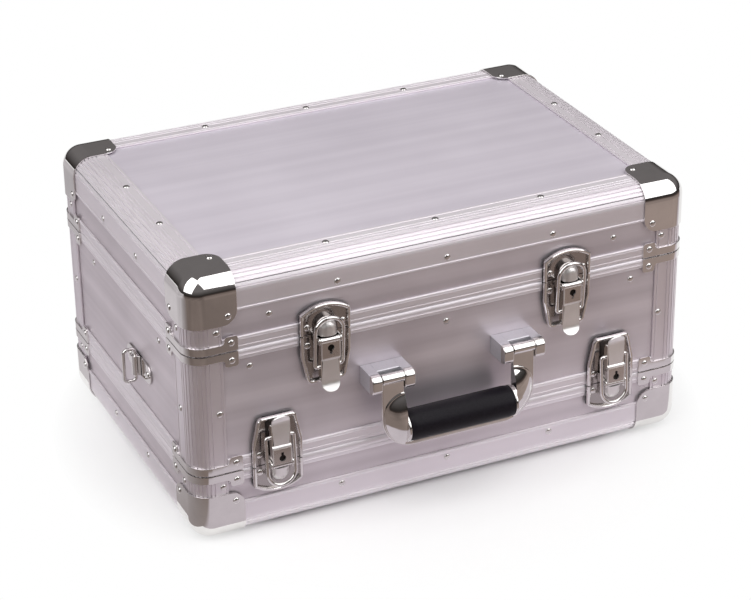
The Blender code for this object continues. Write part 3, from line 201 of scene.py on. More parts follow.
def counterclockwise(points):
    """The outline in the order that keeps its inside to the left."""
    area = sum(a[0] * b[1] - b[0] * a[1] for a, b in zip(points, points[1:] + points[:1]))
    return points if area > 0 else points[::-1]


def pressed(outline, levels):
    """A closed form over an outline: each level is how far it is drawn in, and its height."""
    outline = counterclockwise(outline)
    return stacked([[(x, y, height) for x, y in inset(outline, amount)] for amount, height in levels])


def plate(outline, low, high, edge=0.3):
    """A flat plate with rounded edges."""
    steps = [(edge * (1 - sin(turn)), edge * (1 - cos(turn))) for turn in (0, pi / 6, pi / 3, pi / 2)]
    lower = [(x, low + y) for x, y in steps]
    upper = [(x, high - y) for x, y in steps[::-1]]
    return pressed(outline, lower + upper)


def oblong(left, right, low, high, near=0, far=0, steps=3):
    """A rectangle with its left corners rounded by one radius and its right ones by another."""
    return softened([(left, low, near), (right, low, far), (right, high, far), (left, high, near)], steps)


def prism(outline, low, high):
    """A plain solid over an outline."""
    return pressed(outline, [(0, low), (0, high)])


def border(path, section):
    """A raised border: a closed section of (distance in, height) swept along an open path."""
    bm = bmesh.new()
    rows = [[bm.verts.new((x, y, h)) for x, y in inset(path, d, closed=False)] for d, h in section]
    for low, high in zip(rows, rows[1:] + rows[:1]):
        bridged(bm, low, high, closed=False)
    bm.faces.new([row[0] for row in rows])
    bm.faces.new([row[-1] for row in rows][::-1])
    return to_mesh(bm)


def turned(profile, steps=32):
    """A solid turned about Z from (radius, height) points."""
    bm = bmesh.new()
    verts = [bm.verts.new((r, 0, h)) for r, h in profile]
    edges = [bm.edges.new(pair) for pair in zip(verts, verts[1:])]
    bmesh.ops.spin(bm, geom=verts + edges, axis=Z, cent=(0, 0, 0), angle=2 * pi, steps=steps)
    bmesh.ops.remove_doubles(bm, verts=bm.verts, dist=0.0005)
    return to_mesh(bm)


def rod(radius, low, high, edge=0.3, steps=32):
    """A round bar along Z with rounded ends."""
    bend = arc(0, 0, edge, 0, 90, 3)
    upper = [(radius - edge + x, high - edge + y) for x, y in bend]
    lower = [(radius - edge + x, low + edge - y) for x, y in bend[::-1]]
    return turned([(0, low), *lower, *upper, (0, high)], steps)


def tube(points, radius, closed=False):
    """A round wire along the points."""
    curve = bpy.data.curves.new("wire", "CURVE")
    curve.dimensions = "3D"
    curve.bevel_depth = radius
    curve.bevel_resolution = 4
    curve.use_fill_caps = not closed
    spline = curve.splines.new("POLY")
    spline.points.add(len(points) - 1)
    for point, place in zip(spline.points, points):
        point.co = (*place, 1)
    spline.use_cyclic_u = closed
    bm = bmesh.new()
    bm.from_mesh(applied(curve))
    bmesh.ops.remove_doubles(bm, verts=bm.verts, dist=0.001)
    return to_mesh(bm)


def thickened(mesh, thickness, edge):
    """A sheet with its thickness behind it and its sharp edges rounded."""
    return applied(
        mesh,
        ("SOLIDIFY", {"thickness": thickness, "offset": -1, "use_even_offset": True}),
        ("BEVEL", {"width": edge, "segments": 2, "limit_method": "ANGLE", "angle_limit": radians(50)}),
    )


def sheet_metal(outline, cuts, bend, thickness, edge):
    """A flat pattern, split across at the cuts, bent by a function and given its thickness behind."""
    bm = bmesh.new()
    bm.faces.new([bm.verts.new((x, y, 0)) for x, y in counterclockwise(outline)])
    for at in cuts:
        geom = bm.verts[:] + bm.edges[:] + bm.faces[:]
        bmesh.ops.bisect_plane(bm, geom=geom, plane_co=(at, 0, 0), plane_no=(1, 0, 0), dist=0.0001)
    for vert in bm.verts:
        vert.co = bend(vert.co.x, vert.co.y)
    return thickened(to_mesh(bm, turned_out=False), thickness, edge)


def rivet():
    """A domed rivet head with a thin foot."""
    foot, seat = RIVET_HEIGHT * 0.18, -0.3
    turns = [radians(angle) for angle in range(0, 90, 15)]
    dome = [(RIVET_RADIUS * 0.96 * cos(turn), foot + (RIVET_HEIGHT - foot) * sin(turn)) for turn in turns]
    return turned([(0, seat), (RIVET_RADIUS, seat), (RIVET_RADIUS, foot), *dome, (0, RIVET_HEIGHT)], 20)


# Places
def columns(x_axis, y_axis, z_axis, origin=(0, 0, 0)):
    """A matrix that carries the three axes and the origin to where they are given."""
    return Matrix.Translation(origin) @ Matrix((x_axis, y_axis, z_axis)).transposed().to_4x4()


def on_face(face, across=0.0, up=0.0, out=0.0):
    """Carries a piece drawn as (across, up, outward) to a point of a face."""
    right, upward, outward, distance = FACES[face]
    return columns(right, upward, outward, right * across + upward * up + outward * (distance + out))


def shifted(x, y, z=0.0):
    """A matrix that only moves."""
    return Matrix.Translation((x, y, z))


def along_face(face, level, upward=1):
    """Carries a section drawn as (outward, up), or as (outward, down), to a face, to run along it."""
    right, up, outward, distance = FACES[face]
    return columns(outward, up * upward, right, up * level + outward * distance)


def corner_frame(x_side, y_side, proud=0.0, level=0.0, upward=1):
    """Carries a piece with its outer corner at the origin and its legs along +X and +Y to a case corner."""
    place = Vector((x_side * (HALF_WIDTH + proud), y_side * (HALF_DEPTH + proud), level))
    return Matrix.Translation(place) @ Matrix.Diagonal((-x_side, -y_side, upward, 1))


def axis_of(face):
    """The axis that a wall runs along."""
    return "x" if face in ("front", "rear") else "y"


def half_length(face):
    """Half the length of the case along a face."""
    return HALF_WIDTH if axis_of(face) == "x" else HALF_DEPTH


# Finishes
def tree(name):
    """A new material, its node tree and its main shader."""
    made = bpy.data.materials.new(name)
    made.use_nodes = True
    nodes = made.node_tree
    return made, nodes, nodes.nodes["Principled BSDF"]


def fed(nodes, node, inputs):
    """The node with its inputs linked or set."""
    for key, value in inputs.items():
        if isinstance(value, bpy.types.NodeSocket):
            nodes.links.new(value, node.inputs[key])
        else:
            node.inputs[key].default_value = value
    return node


def linked(nodes, kind, inputs=(), **settings):
    """A new node with its settings, its inputs linked or set."""
    made = nodes.nodes.new(kind)
    for key, value in settings.items():
        setattr(made, key, value)
    return fed(nodes, made, dict(inputs))


def noise(nodes, scale, stretch=(1, 1, 1), detail=3.0, rough=0.55):
    """Noise on the object's own coordinates, stretched."""
    place = linked(nodes, "ShaderNodeTexCoord").outputs["Object"]
    spread = linked(nodes, "ShaderNodeMapping", {"Vector": place, "Scale": stretch}).outputs["Vector"]
    inputs = {"Vector": spread, "Scale": scale, "Detail": detail, "Roughness": rough}
    return linked(nodes, "ShaderNodeTexNoise", inputs).outputs["Fac"]


def maths(nodes, operation, *values):
    """The result of a calculation with values, each linked or set."""
    return linked(nodes, "ShaderNodeMath", dict(enumerate(values)), operation=operation).outputs[0]


def ranged(nodes, value, low, high, start=0.3, end=0.7):
    """A value mapped from one range to another."""
    inputs = {"Value": value, "From Min": start, "From Max": end, "To Min": low, "To Max": high}
    return linked(nodes, "ShaderNodeMapRange", inputs).outputs["Result"]


def tinted(nodes, value, dark, light):
    """A colour between two, each linked or set."""
    ends = [end if isinstance(end, bpy.types.NodeSocket) else (*end, 1) for end in (dark, light)]
    return linked(nodes, "ShaderNodeMix", {0: value, 6: ends[0], 7: ends[1]}, data_type="RGBA").outputs[2]


def bumped(nodes, height, strength, distance):
    """The normal of a bumpy surface."""
    inputs = {"Height": height, "Strength": strength, "Distance": distance}
    return linked(nodes, "ShaderNodeBump", inputs).outputs["Normal"]


def from_middle(nodes):
    """The place on a flat stage piece, and its distance from the middle."""
    place = linked(nodes, "ShaderNodeTexCoord").outputs["Object"]
    return place, linked(nodes, "ShaderNodeVectorMath", {0: place}, operation="LENGTH").outputs["Value"]


# How noise is stretched into lines and into bands of painted reflection along each axis
LINES = {"x": (0.8, 1600, 1600), "y": (1600, 0.8, 1600), "z": (1600, 1600, 0.8)}
REFLECTION_BANDS = {"x": (0.4, 60, 60), "y": (60, 0.4, 60), "z": (60, 60, 0.4)}


def brushed(name, along, dark, light, rough, metallic, streak=0.05, bump=0.06):
    """Brushed or drawn metal: fine lines one way, broad soft bands of painted reflection the same way, and
    cloudy handling marks.

    A pair of metallic values is for upright faces and for flat ones, which are anodised duller."""
    made, nodes, shader = tree(name)
    lines = noise(nodes, 1.0, LINES[along], 4.0, 0.6)
    reflection_bands = noise(nodes, 1.0, REFLECTION_BANDS[along], 2.0, 0.5)
    clouds = noise(nodes, 7.0)
    # The colour mixes broad bands of painted reflection with the cloudy handling marks.
    shade = maths(nodes, "MULTIPLY", maths(nodes, "ADD", reflection_bands, clouds), 0.5)
    worn = maths(nodes, "ADD", maths(nodes, "MULTIPLY_ADD", lines, 0.6, 0.2), clouds)
    if isinstance(metallic, tuple):
        normal = linked(nodes, "ShaderNodeTexCoord").outputs["Normal"]
        flat = maths(nodes, "ABSOLUTE", linked(nodes, "ShaderNodeSeparateXYZ", {0: normal}).outputs["Z"])
        metallic = ranged(nodes, flat, *metallic, 0.05, 0.45)
    fed(nodes, shader, {
        "Base Color": tinted(nodes, ranged(nodes, shade, 0, 1, 0.38, 0.62), dark, light),
        "Roughness": ranged(nodes, worn, rough - streak, rough + streak, 0.7, 1.3),
        "Metallic": metallic, "Normal": bumped(nodes, lines, bump, 0.00003),
    })
    return made


def plated(name, colour, rough, ripple=0.0, spread=0.03):
    """Polished plating with faint smudges and, if asked for, a slow ripple from pressing."""
    made, nodes, shader = tree(name)
    smudges = noise(nodes, 60.0, detail=5.0)
    darker = tuple(c * 0.93 for c in colour)
    fed(nodes, shader, {
        "Base Color": tinted(nodes, ranged(nodes, smudges, 0, 1), darker, colour),
        "Roughness": ranged(nodes, smudges, rough, rough + spread, 0.4, 0.75), "Metallic": 1.0,
    })
    if ripple:
        fed(nodes, shader, {"Normal": bumped(nodes, noise(nodes, 90.0, detail=1.0), ripple, 0.0004)})
    return made


def grained(name, dark, light, rough, scale, bump, distance, metallic=0.0):
    """A matte finish with grain in its colour, roughness and surface."""
    made, nodes, shader = tree(name)
    grain = noise(nodes, scale, detail=5.0, rough=0.6)
    fed(nodes, shader, {
        "Base Color": tinted(nodes, ranged(nodes, grain, 0, 1), dark, light),
        "Roughness": ranged(nodes, noise(nodes, 12.0), rough - 0.05, rough + 0.06),
        "Metallic": metallic, "Normal": bumped(nodes, grain, bump, distance),
    })
    return made


SHEET = {
    axis: brushed(f"sheet_{axis}", axis, (0.55, 0.495, 0.53), (0.72, 0.66, 0.70), 0.38, 0.7) for axis in "xy"
}
TOP_SHEET = brushed("sheet_top", "x", (0.765, 0.71, 0.79), (0.84, 0.785, 0.865), 0.48, 0.35)
TRIM = {
    axis: brushed(f"trim_{axis}", axis, (0.80, 0.75, 0.79), (0.88, 0.83, 0.87), 0.45, metallic, 0.02, 0.012)
    for axis, metallic in (("x", (0.82, 0.35)), ("y", (0.82, 0.35)), ("z", 0.96))
}
CHROME = plated("chrome", (0.82, 0.80, 0.79), 0.03, 0.06)
WIRE = plated("chrome_wire", (0.84, 0.82, 0.81), 0.05)
LATCH = plated("latch_chrome", (0.88, 0.86, 0.85), 0.10, 0.5)
SATIN = plated("latch_satin", (0.94, 0.92, 0.91), 0.42, 0.10)
# Darker plating on the latch floors and under the hook: painted shade between the raised parts.
PAINTED_SHADE_PAN = plated("latch_pan_painted_shade", (0.46, 0.43, 0.42), 0.16, 0.25)
KEY_PLATE = plated("key_plate", (0.62, 0.57, 0.54), 0.22, 0.0, 0.12)
CAST = grained("cast_bracket", (0.55, 0.54, 0.58), (0.64, 0.63, 0.67), 0.33, 900.0, 0.12, 0.00005, 0.7)
STEEL = plated("lock_steel", (0.03, 0.028, 0.026), 0.4)
GRIP = grained("grip", (0.006, 0.005, 0.007), (0.012, 0.010, 0.014), 0.36, 700.0, 0.10, 0.00005)
GRIP.node_tree.nodes["Principled BSDF"].inputs["Specular IOR Level"].default_value = 0.12
FOAM = grained("foam", (0.035, 0.035, 0.038), (0.075, 0.075, 0.08), 0.9, 900.0, 0.8, 0.0006)
LINING = grained("lining", (0.05, 0.05, 0.055), (0.085, 0.085, 0.09), 0.8, 1400.0, 0.5, 0.0003)


# Pieces
def piece(name, body, parts, stands_for, slot, sharp=32):
    """One object from (mesh, material, matrix) parts, riding on a body and standing for CAD nodes."""
    bm = bmesh.new()
    used = []
    for mesh, finish, matrix in parts:
        if finish not in used:
            used.append(finish)
        faces_before, verts_before = len(bm.faces), len(bm.verts)
        bm.from_mesh(mesh)
        bm.faces.ensure_lookup_table()
        bm.verts.ensure_lookup_table()
        new_faces = bm.faces[faces_before:]
        bmesh.ops.transform(bm, matrix=TO_WORLD @ matrix, verts=bm.verts[verts_before:])
        if matrix.determinant() < 0:
            bmesh.ops.reverse_faces(bm, faces=new_faces)
        for face in new_faces:
            face.material_index = used.index(finish)
            face.smooth = True
    mesh = to_mesh(bm, name, turned_out=False)
    mesh.set_sharp_from_angle(angle=radians(sharp))
    for finish in used:
        mesh.materials.append(finish)
    obj = added(name, mesh)
    shading = obj.modifiers.new("shading", "WEIGHTED_NORMAL")
    shading.keep_sharp = True
    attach(obj, body)
    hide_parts(*stands_for)
    return obj


RIVET = rivet()


def placed(parts, place):
    """Parts carried together to a place."""
    return [(mesh, finish, place @ matrix) for mesh, finish, matrix in parts]


def head(place):
    """A rivet's head at a place."""
    return (RIVET, CHROME, place)


def rivet_at(face, across, up, out=0.0):
    """A rivet's head on a face."""
    return head(on_face(face, across, up, out))


def corner_rivets(level, out=0.0, insets=POST_RIVET_INSETS):
    """A rivet near each end of every wall."""
    heads = []
    for face in WALLS:
        reach = half_length(face) - insets[axis_of(face)]
        heads += [rivet_at(face, side * reach, level, out) for side in SIDES]
    return heads


# Extrusions
RIDGE = ((0, 0.2), (0.25, -0.315), (0.7, -0.45), (1.5, -0.45), (2.0, -0.27), (2.3, 0.2), (2.8, 0.2), (3.1, 0))
RIDGE_ROOM = 3.4


def round_corner(leg_x, leg_y, r):
    """The path from the end of one leg round the outer corner at the origin to the end of the other.

    Gives its function of distance along it and depth, where its bend starts and ends, and its length."""
    start = leg_x - r
    end = start + pi * r / 2

    def place(t, sunk=0):
        if t < start:
            return (leg_x - t, sunk)
        if t > end:
            return (sunk, r + t - end)
        angle = 3 * pi / 2 - (t - start) / r
        return (r + (r - sunk) * cos(angle), r + (r - sunk) * sin(angle))

    return place, start, end, end + leg_y - r


def spaced(start, end, count):
    """Evenly spaced places."""
    return [start + (end - start) * i / (count - 1) for i in range(count)]


def ribbed_angle(leg_x, leg_y, grooves, depth, width, ridge=()):
    """An L section with a rounded outer corner, grooves along it and a ridge at its far end.

    Grooves lie so far from the first end or, where below zero, from the other."""
    r = TRIM_RADIUS
    place, start, end, total = round_corner(leg_x, leg_y, r)
    stops = [(0, 0.3), (0.3, 0), (total - 0.3, 0), (total, 0.3)] + [(t, 0) for t in spaced(start, end, 25)]
    if ridge:
        stops = [stop for stop in stops if abs(stop[0] - total) > RIDGE_ROOM]
        stops += [(total - distance, sunk) for distance, sunk in ridge]
    for at in (groove % total for groove in grooves):
        stops = [stop for stop in stops if abs(stop[0] - at) > width * 0.55]
        stops += [(at - width / 2, 0), (at - width / 9, depth), (at + width / 9, depth), (at + width / 2, 0)]
    outer = [place(t, sunk) for t, sunk in sorted(stops)]
    inner = arc(r, r, r - TRIM_WALL, 180, 270, 12)
    return outer + [(TRIM_WALL, leg_y), *inner, (leg_x, TRIM_WALL)]


EDGE_BEND = FLAT_LEG - TRIM_RADIUS
EDGE_GROOVES = [3.0, *spaced(EDGE_BEND - 4.5, EDGE_BEND + 23.5, 8)]
EDGE_SECTION = ribbed_angle(FLAT_LEG, WALL_LEG, EDGE_GROOVES, 1.1, 1.6, RIDGE)
POST_BEND = POST_LEGS["front"] - TRIM_RADIUS
POST_GROOVES = [2.6, *spaced(POST_BEND - 1.0, POST_BEND + pi * TRIM_RADIUS / 2 + 1.0, 9), -2.6]
POST_SECTION = ribbed_angle(POST_LEGS["front"], POST_LEGS["left"], POST_GROOVES, 0.8, 1.3)


def edge_frame(body, face, upward, rivets):
    """The four rounded edges round the top or the floor, with gussets under the caps."""
    outward_level = FACES[face][2] * FACES[face][3]
    parts = []
    for wall in WALLS:
        right, _, outward, distance = FACES[wall]
        reach = half_length(wall) - FLAT_LEG - GAP
        place = columns(-outward, Z * upward, right, outward * distance + outward_level)
        parts.append((prism(EDGE_SECTION, -reach, reach), TRIM[axis_of(wall)], place))
    near, far, depth, half = TRIM_RADIUS, 36.3, 0.8, 0.4
    middle = outward_level.z + upward * depth
    gusset = prism(oblong(near, far, near, far), middle - half, middle + half)
    parts += [(gusset, TRIM["x"], corner_frame(x, y)) for x in SIDES for y in SIDES]
    piece(f"{body}_edge_frame_drawn", body, parts + rivets, (f"{body}_edge_frame",), "trim")


EDGE_RIVET_SHARES = {"x": (-0.43, 0, 0.43), "y": (-0.26, 0.26)}
WALL_RIVET_INSET = 27.5
FLAT_RIVET_INSET = 24.5


def wall_edge_rivets(level):
    """Rivets along the wall legs of edge extrusions."""
    places = [(face, share) for face in WALLS for share in EDGE_RIVET_SHARES[axis_of(face)]]
    return [rivet_at(face, share * half_length(face), level) for face, share in places]


def top_rivets():
    """Rivets along the flat legs round the lid's top."""
    x_line, y_line = HALF_WIDTH - FLAT_RIVET_INSET, HALF_DEPTH - FLAT_RIVET_INSET
    spots = [(share * HALF_WIDTH, y * y_line) for share in EDGE_RIVET_SHARES["x"] for y in SIDES]
    spots += [(x * x_line, share * HALF_DEPTH) for share in EDGE_RIVET_SHARES["y"] for x in SIDES]
    return [rivet_at("top", across, up) for across, up in spots]


def rounded_rectangle(drawn_in):
    """The case's outline seen from above, drawn in by an inset."""
    x, y = HALF_WIDTH - TRIM_RADIUS, HALF_DEPTH - TRIM_RADIUS
    outline = []
    for turn, (across, along) in enumerate(((x, y), (-x, y), (-x, -y), (x, -y))):
        outline += arc(across, along, TRIM_RADIUS - drawn_in, 90 * turn, 90 * turn + 90, 8)
    return outline


def ring(outer_inset, inner_inset, low, high):
    """A band that runs right round the case between two insets and two levels."""
    bm = bmesh.new()
    corners = ((outer_inset, low), (outer_inset, high), (inner_inset, high), (inner_inset, low))
    rows = [[bm.verts.new((x, y, z)) for x, y in rounded_rectangle(drawn_in)] for drawn_in, z in corners]
    for first, second in zip(rows, rows[1:] + rows[:1]):
        bridged(bm, first, second)
    return to_mesh(bm)


# Rims; their outer sections are drawn as (outward, away from the seam)
UPPER_RIM_SECTION = (
    (-0.4, 0.3), (0.0, 0.8), (0.0, 3.2), (-0.35, 3.5), (-0.35, 4.0), (0.0, 4.3), (0.0, 9.6), (-0.3, 9.9),
    (-0.3, 10.3), (0.3, 10.7), (0.5, 11.2), (0.5, 11.8), (0.3, 12.2), (-0.1, 12.5), (-1.6, 12.5), (-1.6, 0.3),
)
LOWER_RIM_SECTION = (
    (-1.3, 0.3), (-0.7, 0.7), (-0.2, 1.5), (0.15, 2.6), (0.3, 3.8), (0.2, 4.9), (-0.1, 5.7), (-0.35, 6.0),
    (-0.35, 6.4), (0.0, 6.7), (0.0, 9.3), (-0.5, 10.0), (-1.6, 10.0), (-1.6, 0.3),
)
RIM_LIP = 0.8
RIM_FLANGE = 1.3
STEP_DEPTH = 3.6
STEP_FLOOR = 4.2
TONGUE_INSETS = (2.0, 4.0)
TONGUE_REACH = 3.0


def rim(seam, upward, height, section, reflection_bands):
    """The outer walls of a rim between the corner posts, and its inner bands."""
    scale = height / section[-2][1]
    parts = []
    for face in WALLS:
        reach = half_length(face) - POST_LEGS[face] - GAP
        outline = [(n, z * scale if z > 1 else z) for n, z in section]
        parts.append((prism(outline, -reach, reach), TRIM[axis_of(face)], along_face(face, seam, upward)))
    return parts + [(ring(*band), TRIM["x"], HERE) for band in reflection_bands]


def upper_rim(seam, height):
    """The rim above a seam with its inner flange and tongue."""
    return rim(seam, 1, height, UPPER_RIM_SECTION, (
        (RIM_LIP, RIM_DEPTH, seam + GAP, seam + GAP + RIM_FLANGE),
        (RIM_INNER, RIM_DEPTH, seam + 1, seam + height), (*TONGUE_INSETS, seam - TONGUE_REACH, seam + 1),
    ))


def lower_rim(seam, height):
    """The rim below a seam with its step and inner flange."""
    return rim(seam, -1, height, LOWER_RIM_SECTION, (
        (RIM_LIP, RIM_DEPTH, seam - STEP_DEPTH - RIM_FLANGE, seam - STEP_DEPTH),
        (RIM_INNER, RIM_DEPTH, seam - height, seam - STEP_FLOOR),
    ))


def posts(low, high):
    """The four upright rounded corners between two levels."""
    post = prism(POST_SECTION, low, high)
    return [(post, TRIM["z"], corner_frame(x, y)) for x in SIDES for y in SIDES]


# Braces and ball corners
def brace_mesh():
    """A chrome band round a corner, with a taller lug at each end, bent from a flat pattern."""
    place, start, end, total = round_corner(BRACE_FRONT_LEG, BRACE_SIDE_LEG, TRIM_RADIUS + BRACE_PROUD)
    w, band, lug = BRACE_LUG_WIDTH, BRACE_BAND, BRACE_LUG
    pattern = softened([
        (0, 0, 0.8), (total, 0, 0.8), (total, lug, 3), (total - w, lug, 3), (total - w, band, 3),
        (w, band, 3), (w, lug, 3), (0, lug, 3),
    ])
    return sheet_metal(pattern, spaced(start, end, 17), lambda s, z: (*place(s), z), -BRACE_WALL, BRACE_EDGE)


BRACE = brace_mesh()


def braces(seam, upward):
    """The chrome bands round the corners on one side of a seam, with their rivets."""
    level = seam + upward * BRACE_OFFSET
    parts = [(BRACE, CHROME, corner_frame(x, y, BRACE_PROUD, level, upward)) for x in SIDES for y in SIDES]
    lug_middle = BRACE_LUG_WIDTH / 2 + BRACE_PROUD
    insets = {"x": BRACE_FRONT_LEG - lug_middle, "y": BRACE_SIDE_LEG - lug_middle}
    return parts + corner_rivets(seam + upward * BRACE_LUG * 0.6, BRACE_PROUD, insets)


def cap_mesh():
    """A pressed ball corner with its outer corner at the origin and a rounded lobe on each face."""
    bm = bmesh.new()
    middle = Vector((CAP_REACH, CAP_REACH, CAP_REACH)) / 2
    bmesh.ops.create_cube(bm, size=CAP_REACH, matrix=Matrix.Translation(middle))
    near = min(bm.verts, key=lambda v: v.co.length)
    far = max(bm.verts, key=lambda v: v.co.length)
    roundings = ((list(far.link_edges), CAP_LOBE, 10), (list(near.link_edges), TRIM_RADIUS + CAP_PROUD, 16))
    for edges, radius, steps in roundings:
        bmesh.ops.bevel(bm, geom=edges, offset=radius, segments=steps, profile=0.5, affect="EDGES")
    bm.normal_update()
    inner = [f for f in bm.faces if max(f.normal) > 0.02]
    bmesh.ops.delete(bm, geom=inner, context="FACES")
    return thickened(to_mesh(bm, turned_out=False), CAP_WALL, CAP_EDGE)


CAP = cap_mesh()


def caps(section, level, upward):
    """The four ball corners of the lid or the base."""
    at = CAP_RIVET_PLACE + CAP_PROUD
    seats = [(Y, Z, X), (Z, X, Y)] + ([(X, Y, Z)] if upward < 0 else [])
    for x in SIDES:
        for y in SIDES:
            place = corner_frame(x, y, CAP_PROUD, level, upward)
            heads = [head(place @ columns(a, b, -c, (a + b) * at)) for a, b, c in seats]
            name = f"{section}_corner_cap_{DEPTH_NAMES[y]}_{SIDE_NAMES[x]}"
            piece(f"{name}_pressing", section, [(CAP, CHROME, place)] + heads, (name,), "chrome", 40)


# Panels
SHEET_INSET = 20
BOARD_INSET = 9.8
ABOVE_SEAM = 1.9
BELOW_SEAM = 5.2
LID_RIVETS = {"x": (-0.69, 0.69), "y": ()}
LID_RIVET_RISE = 27.3
BODY_RIVETS = {"x": (-0.77, 0.0, 0.77), "y": (-0.52, 0.52)}
BODY_RIVET_DROP = 19.7


def panel(node, section, face, sheet, board, finish, rivets=()):
    """A panel's metal sheet and the lined board behind it, each given as (left, right, low, high)."""
    place = on_face(face)
    skin = plate(oblong(*sheet), -SHEET_BACK, -SHEET_FACE, 0.25)
    backing = plate(oblong(*board), -BOARD_BACK, -SHEET_BACK, 0.2)
    parts = [(skin, finish, place), (backing, LINING, place), *rivets]
    piece(f"{node}_skin", section, parts, (node,), "panel_sheet")


def flat_panel(node, section, face, finish):
    """The panel of the lid's top or of the floor."""
    halves = [(HALF_WIDTH - inside, HALF_DEPTH - inside) for inside in (SHEET_INSET, BOARD_INSET)]
    panel(node, section, face, *((-x, x, -y, y) for x, y in halves), finish)


def wall_panel(section, face, sheet, board, rivets=()):
    """A wall's panel between the levels of its sheet and those of its board."""
    x, y = half_length(face) - SHEET_INSET, half_length(face) - BOARD_INSET
    corners = (-x, x, *sheet), (-y, y, *board)
    panel(f"{section}_{face}_panel", section, face, *corners, SHEET[axis_of(face)], rivets)


def panels():
    """Every panel of the three sections."""
    flat_panel("lid_top_panel", "lid", "top", TOP_SHEET)
    flat_panel("base_floor_panel", "base", "bottom", SHEET["x"])
    lid_low, body_low = UPPER_SEAM + ABOVE_SEAM, LOWER_SEAM + ABOVE_SEAM
    body_high, base_high = UPPER_SEAM - BELOW_SEAM, LOWER_SEAM - BELOW_SEAM
    for face in WALLS:
        rows = ((LID_RIVETS, UPPER_SEAM + LID_RIVET_RISE), (BODY_RIVETS, UPPER_SEAM - BODY_RIVET_DROP))
        lid_heads, body_heads = (
            [rivet_at(face, share * half_length(face), level, -SHEET_FACE) for share in shares[axis_of(face)]]
            for shares, level in rows
        )
        lid_levels = ((lid_low, TOP_PLANE - inside) for inside in (SHEET_INSET, BOARD_INSET))
        base_levels = ((FLOOR_PLANE + inside, base_high) for inside in (SHEET_INSET, BOARD_INSET))
        wall_panel("lid", face, *lid_levels, lid_heads)
        wall_panel("body", face, (body_low, body_high), (body_low, body_high), body_heads)
        wall_panel("base", face, *base_levels)


def foam():
    """The foam under the lid's top, its edges rounded and its face slightly crowned."""
    rounding, crown, long_edge, cuts = 3.0, 1.2, 30, 24
    low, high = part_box("lid_foam")
    bm = bmesh.new()
    bmesh.ops.create_cube(bm, size=1)
    size, middle = (high - low) * 1000, (high + low) * 500 - Vector((0, SHIFT, 0))
    bmesh.ops.transform(bm, matrix=Matrix.Translation(middle) @ Matrix.Diagonal((*size, 1)), verts=bm.verts)
    bmesh.ops.bevel(bm, geom=bm.edges[:], offset=rounding, segments=4, profile=0.5, affect="EDGES")
    long_edges = [edge for edge in bm.edges if edge.calc_length() > long_edge]
    bmesh.ops.subdivide_edges(bm, edges=long_edges, cuts=cuts, use_grid_fill=True)
    for vert in bm.verts:
        if vert.co.z < middle.z:
            fullness = cos(pi * vert.co.x / size.x) * cos(pi * (vert.co.y - middle.y) / size.y)
            vert.co.z += crown * (1 - max(fullness, 0)) ** 2
    obj = piece("lid_foam_pad", "lid", [(to_mesh(bm), FOAM, HERE)], ("lid_foam",), "foam")


# Latches, drawn as (across, up from the seam, outward)
LATCH_HALF = 24.2
LATCH_BACK = 0.3
LATCH_FLOOR = 1.8
LATCH_RIVET_ACROSS = 17.2
PAN_SECTION = ((0, 0.3), (0, 3.2), (0.25, 4.2), (0.9, 4.8), (2.3, 4.8), (2.9, 4.4), (3.2, 3.4), (3.4, 0.3))
SEAT = (10.6, 17.6, ((0, 1.5), (0, 5.4), (0.3, 6.3), (0.9, 7.0), (1.7, 7.2), (2.2, 6.8)))
HOOK = (8.4, 15.6, ((0, 1.5), (0, 6.4), (0.5, 8.2), (1.5, 9.7), (3.0, 10.9), (4.8, 11.6), (6.6, 11.9)), 0.12)
HOOK_FOOT = 6.5
PLATE_CORNERS = ((LATCH_HALF, -0.5, 0), (LATCH_HALF, -20.7, 4), (18.4, -48.5, 5.5))
EAR_SHARES = (
    (0.04, 0.06, 0), (1.0, 0.06, 0), (1.0, 0.35, 1.0), (0.72, 0.92, 1.5), (0.60, 1.0, 1.5), (0.15, 1.0, 1.5),
    (0.04, 0.90, 1.0),
)
LEVER_FACE = (
    (-3.0, 14.9), (-21.0, 14.9), (-22.2, 14.4), (-23.0, 13.4), (-30.0, 13.6), (-38.0, 13.4), (-44.0, 12.9),
    (-46.6, 13.0), (-48.6, 13.8), (-51.2, 15.4), (-53.6, 16.9),
)
FLANGE_SHARES = (
    (0.05, 0.95), (0.365, 0.95), (0.39, 0.87), (0.80, 0.85), (0.80, 0.55), (0.72, 0.44), (0.46, 0.44),
    (0.05, 0.62),
)
SIDEWAYS = columns(Y, Z, X)
MIRRORED = Matrix.Diagonal((-1, 1, 1, 1))


def catch_path():
    """The edge of a catch, from one foot over the crown to the other."""
    crown, rise = 28.5, 7.8
    radius = (LATCH_HALF**2 + rise**2) / (2 * rise)
    turn = degrees(asin(LATCH_HALF / radius))
    top = arc(0, crown - radius, radius, 90 - turn, 90 + turn, 24)
    start = softened([(LATCH_HALF, 0.5, 0), (*top[0], 1.6), (*top[3], 0)], 4, closed=False)
    end = [(-x, y) for x, y in start[::-1]]
    return start[:-1] + top[3:-3] + end[1:]


def domed(half, top, levels, slope=0.0):
    """A form with a straight foot and a round top. A level is how far it is drawn in, and its height."""
    low = 0.5
    loops = []
    for amount, height in levels:
        width = half - amount
        outline = [(width, low), *arc(0, top - half, width, 0, 180, 20), (-width, low)]
        loops.append([(x, y, height + (top - y) * slope * (height > HOOK_FOOT)) for x, y in outline])
    return stacked(loops)


def pan_parts(path, rivet_up):
    """What catch and plate share: a raised border, a floor darkened with painted shade, and two rivets, which
    come last.
    """
    heads = [head(shifted(side * LATCH_RIVET_ACROSS, rivet_up, LATCH_FLOOR)) for side in SIDES]
    return (border(path, PAN_SECTION), LATCH, HERE), (prism(path, LATCH_BACK, LATCH_FLOOR), PAINTED_SHADE_PAN, HERE), heads


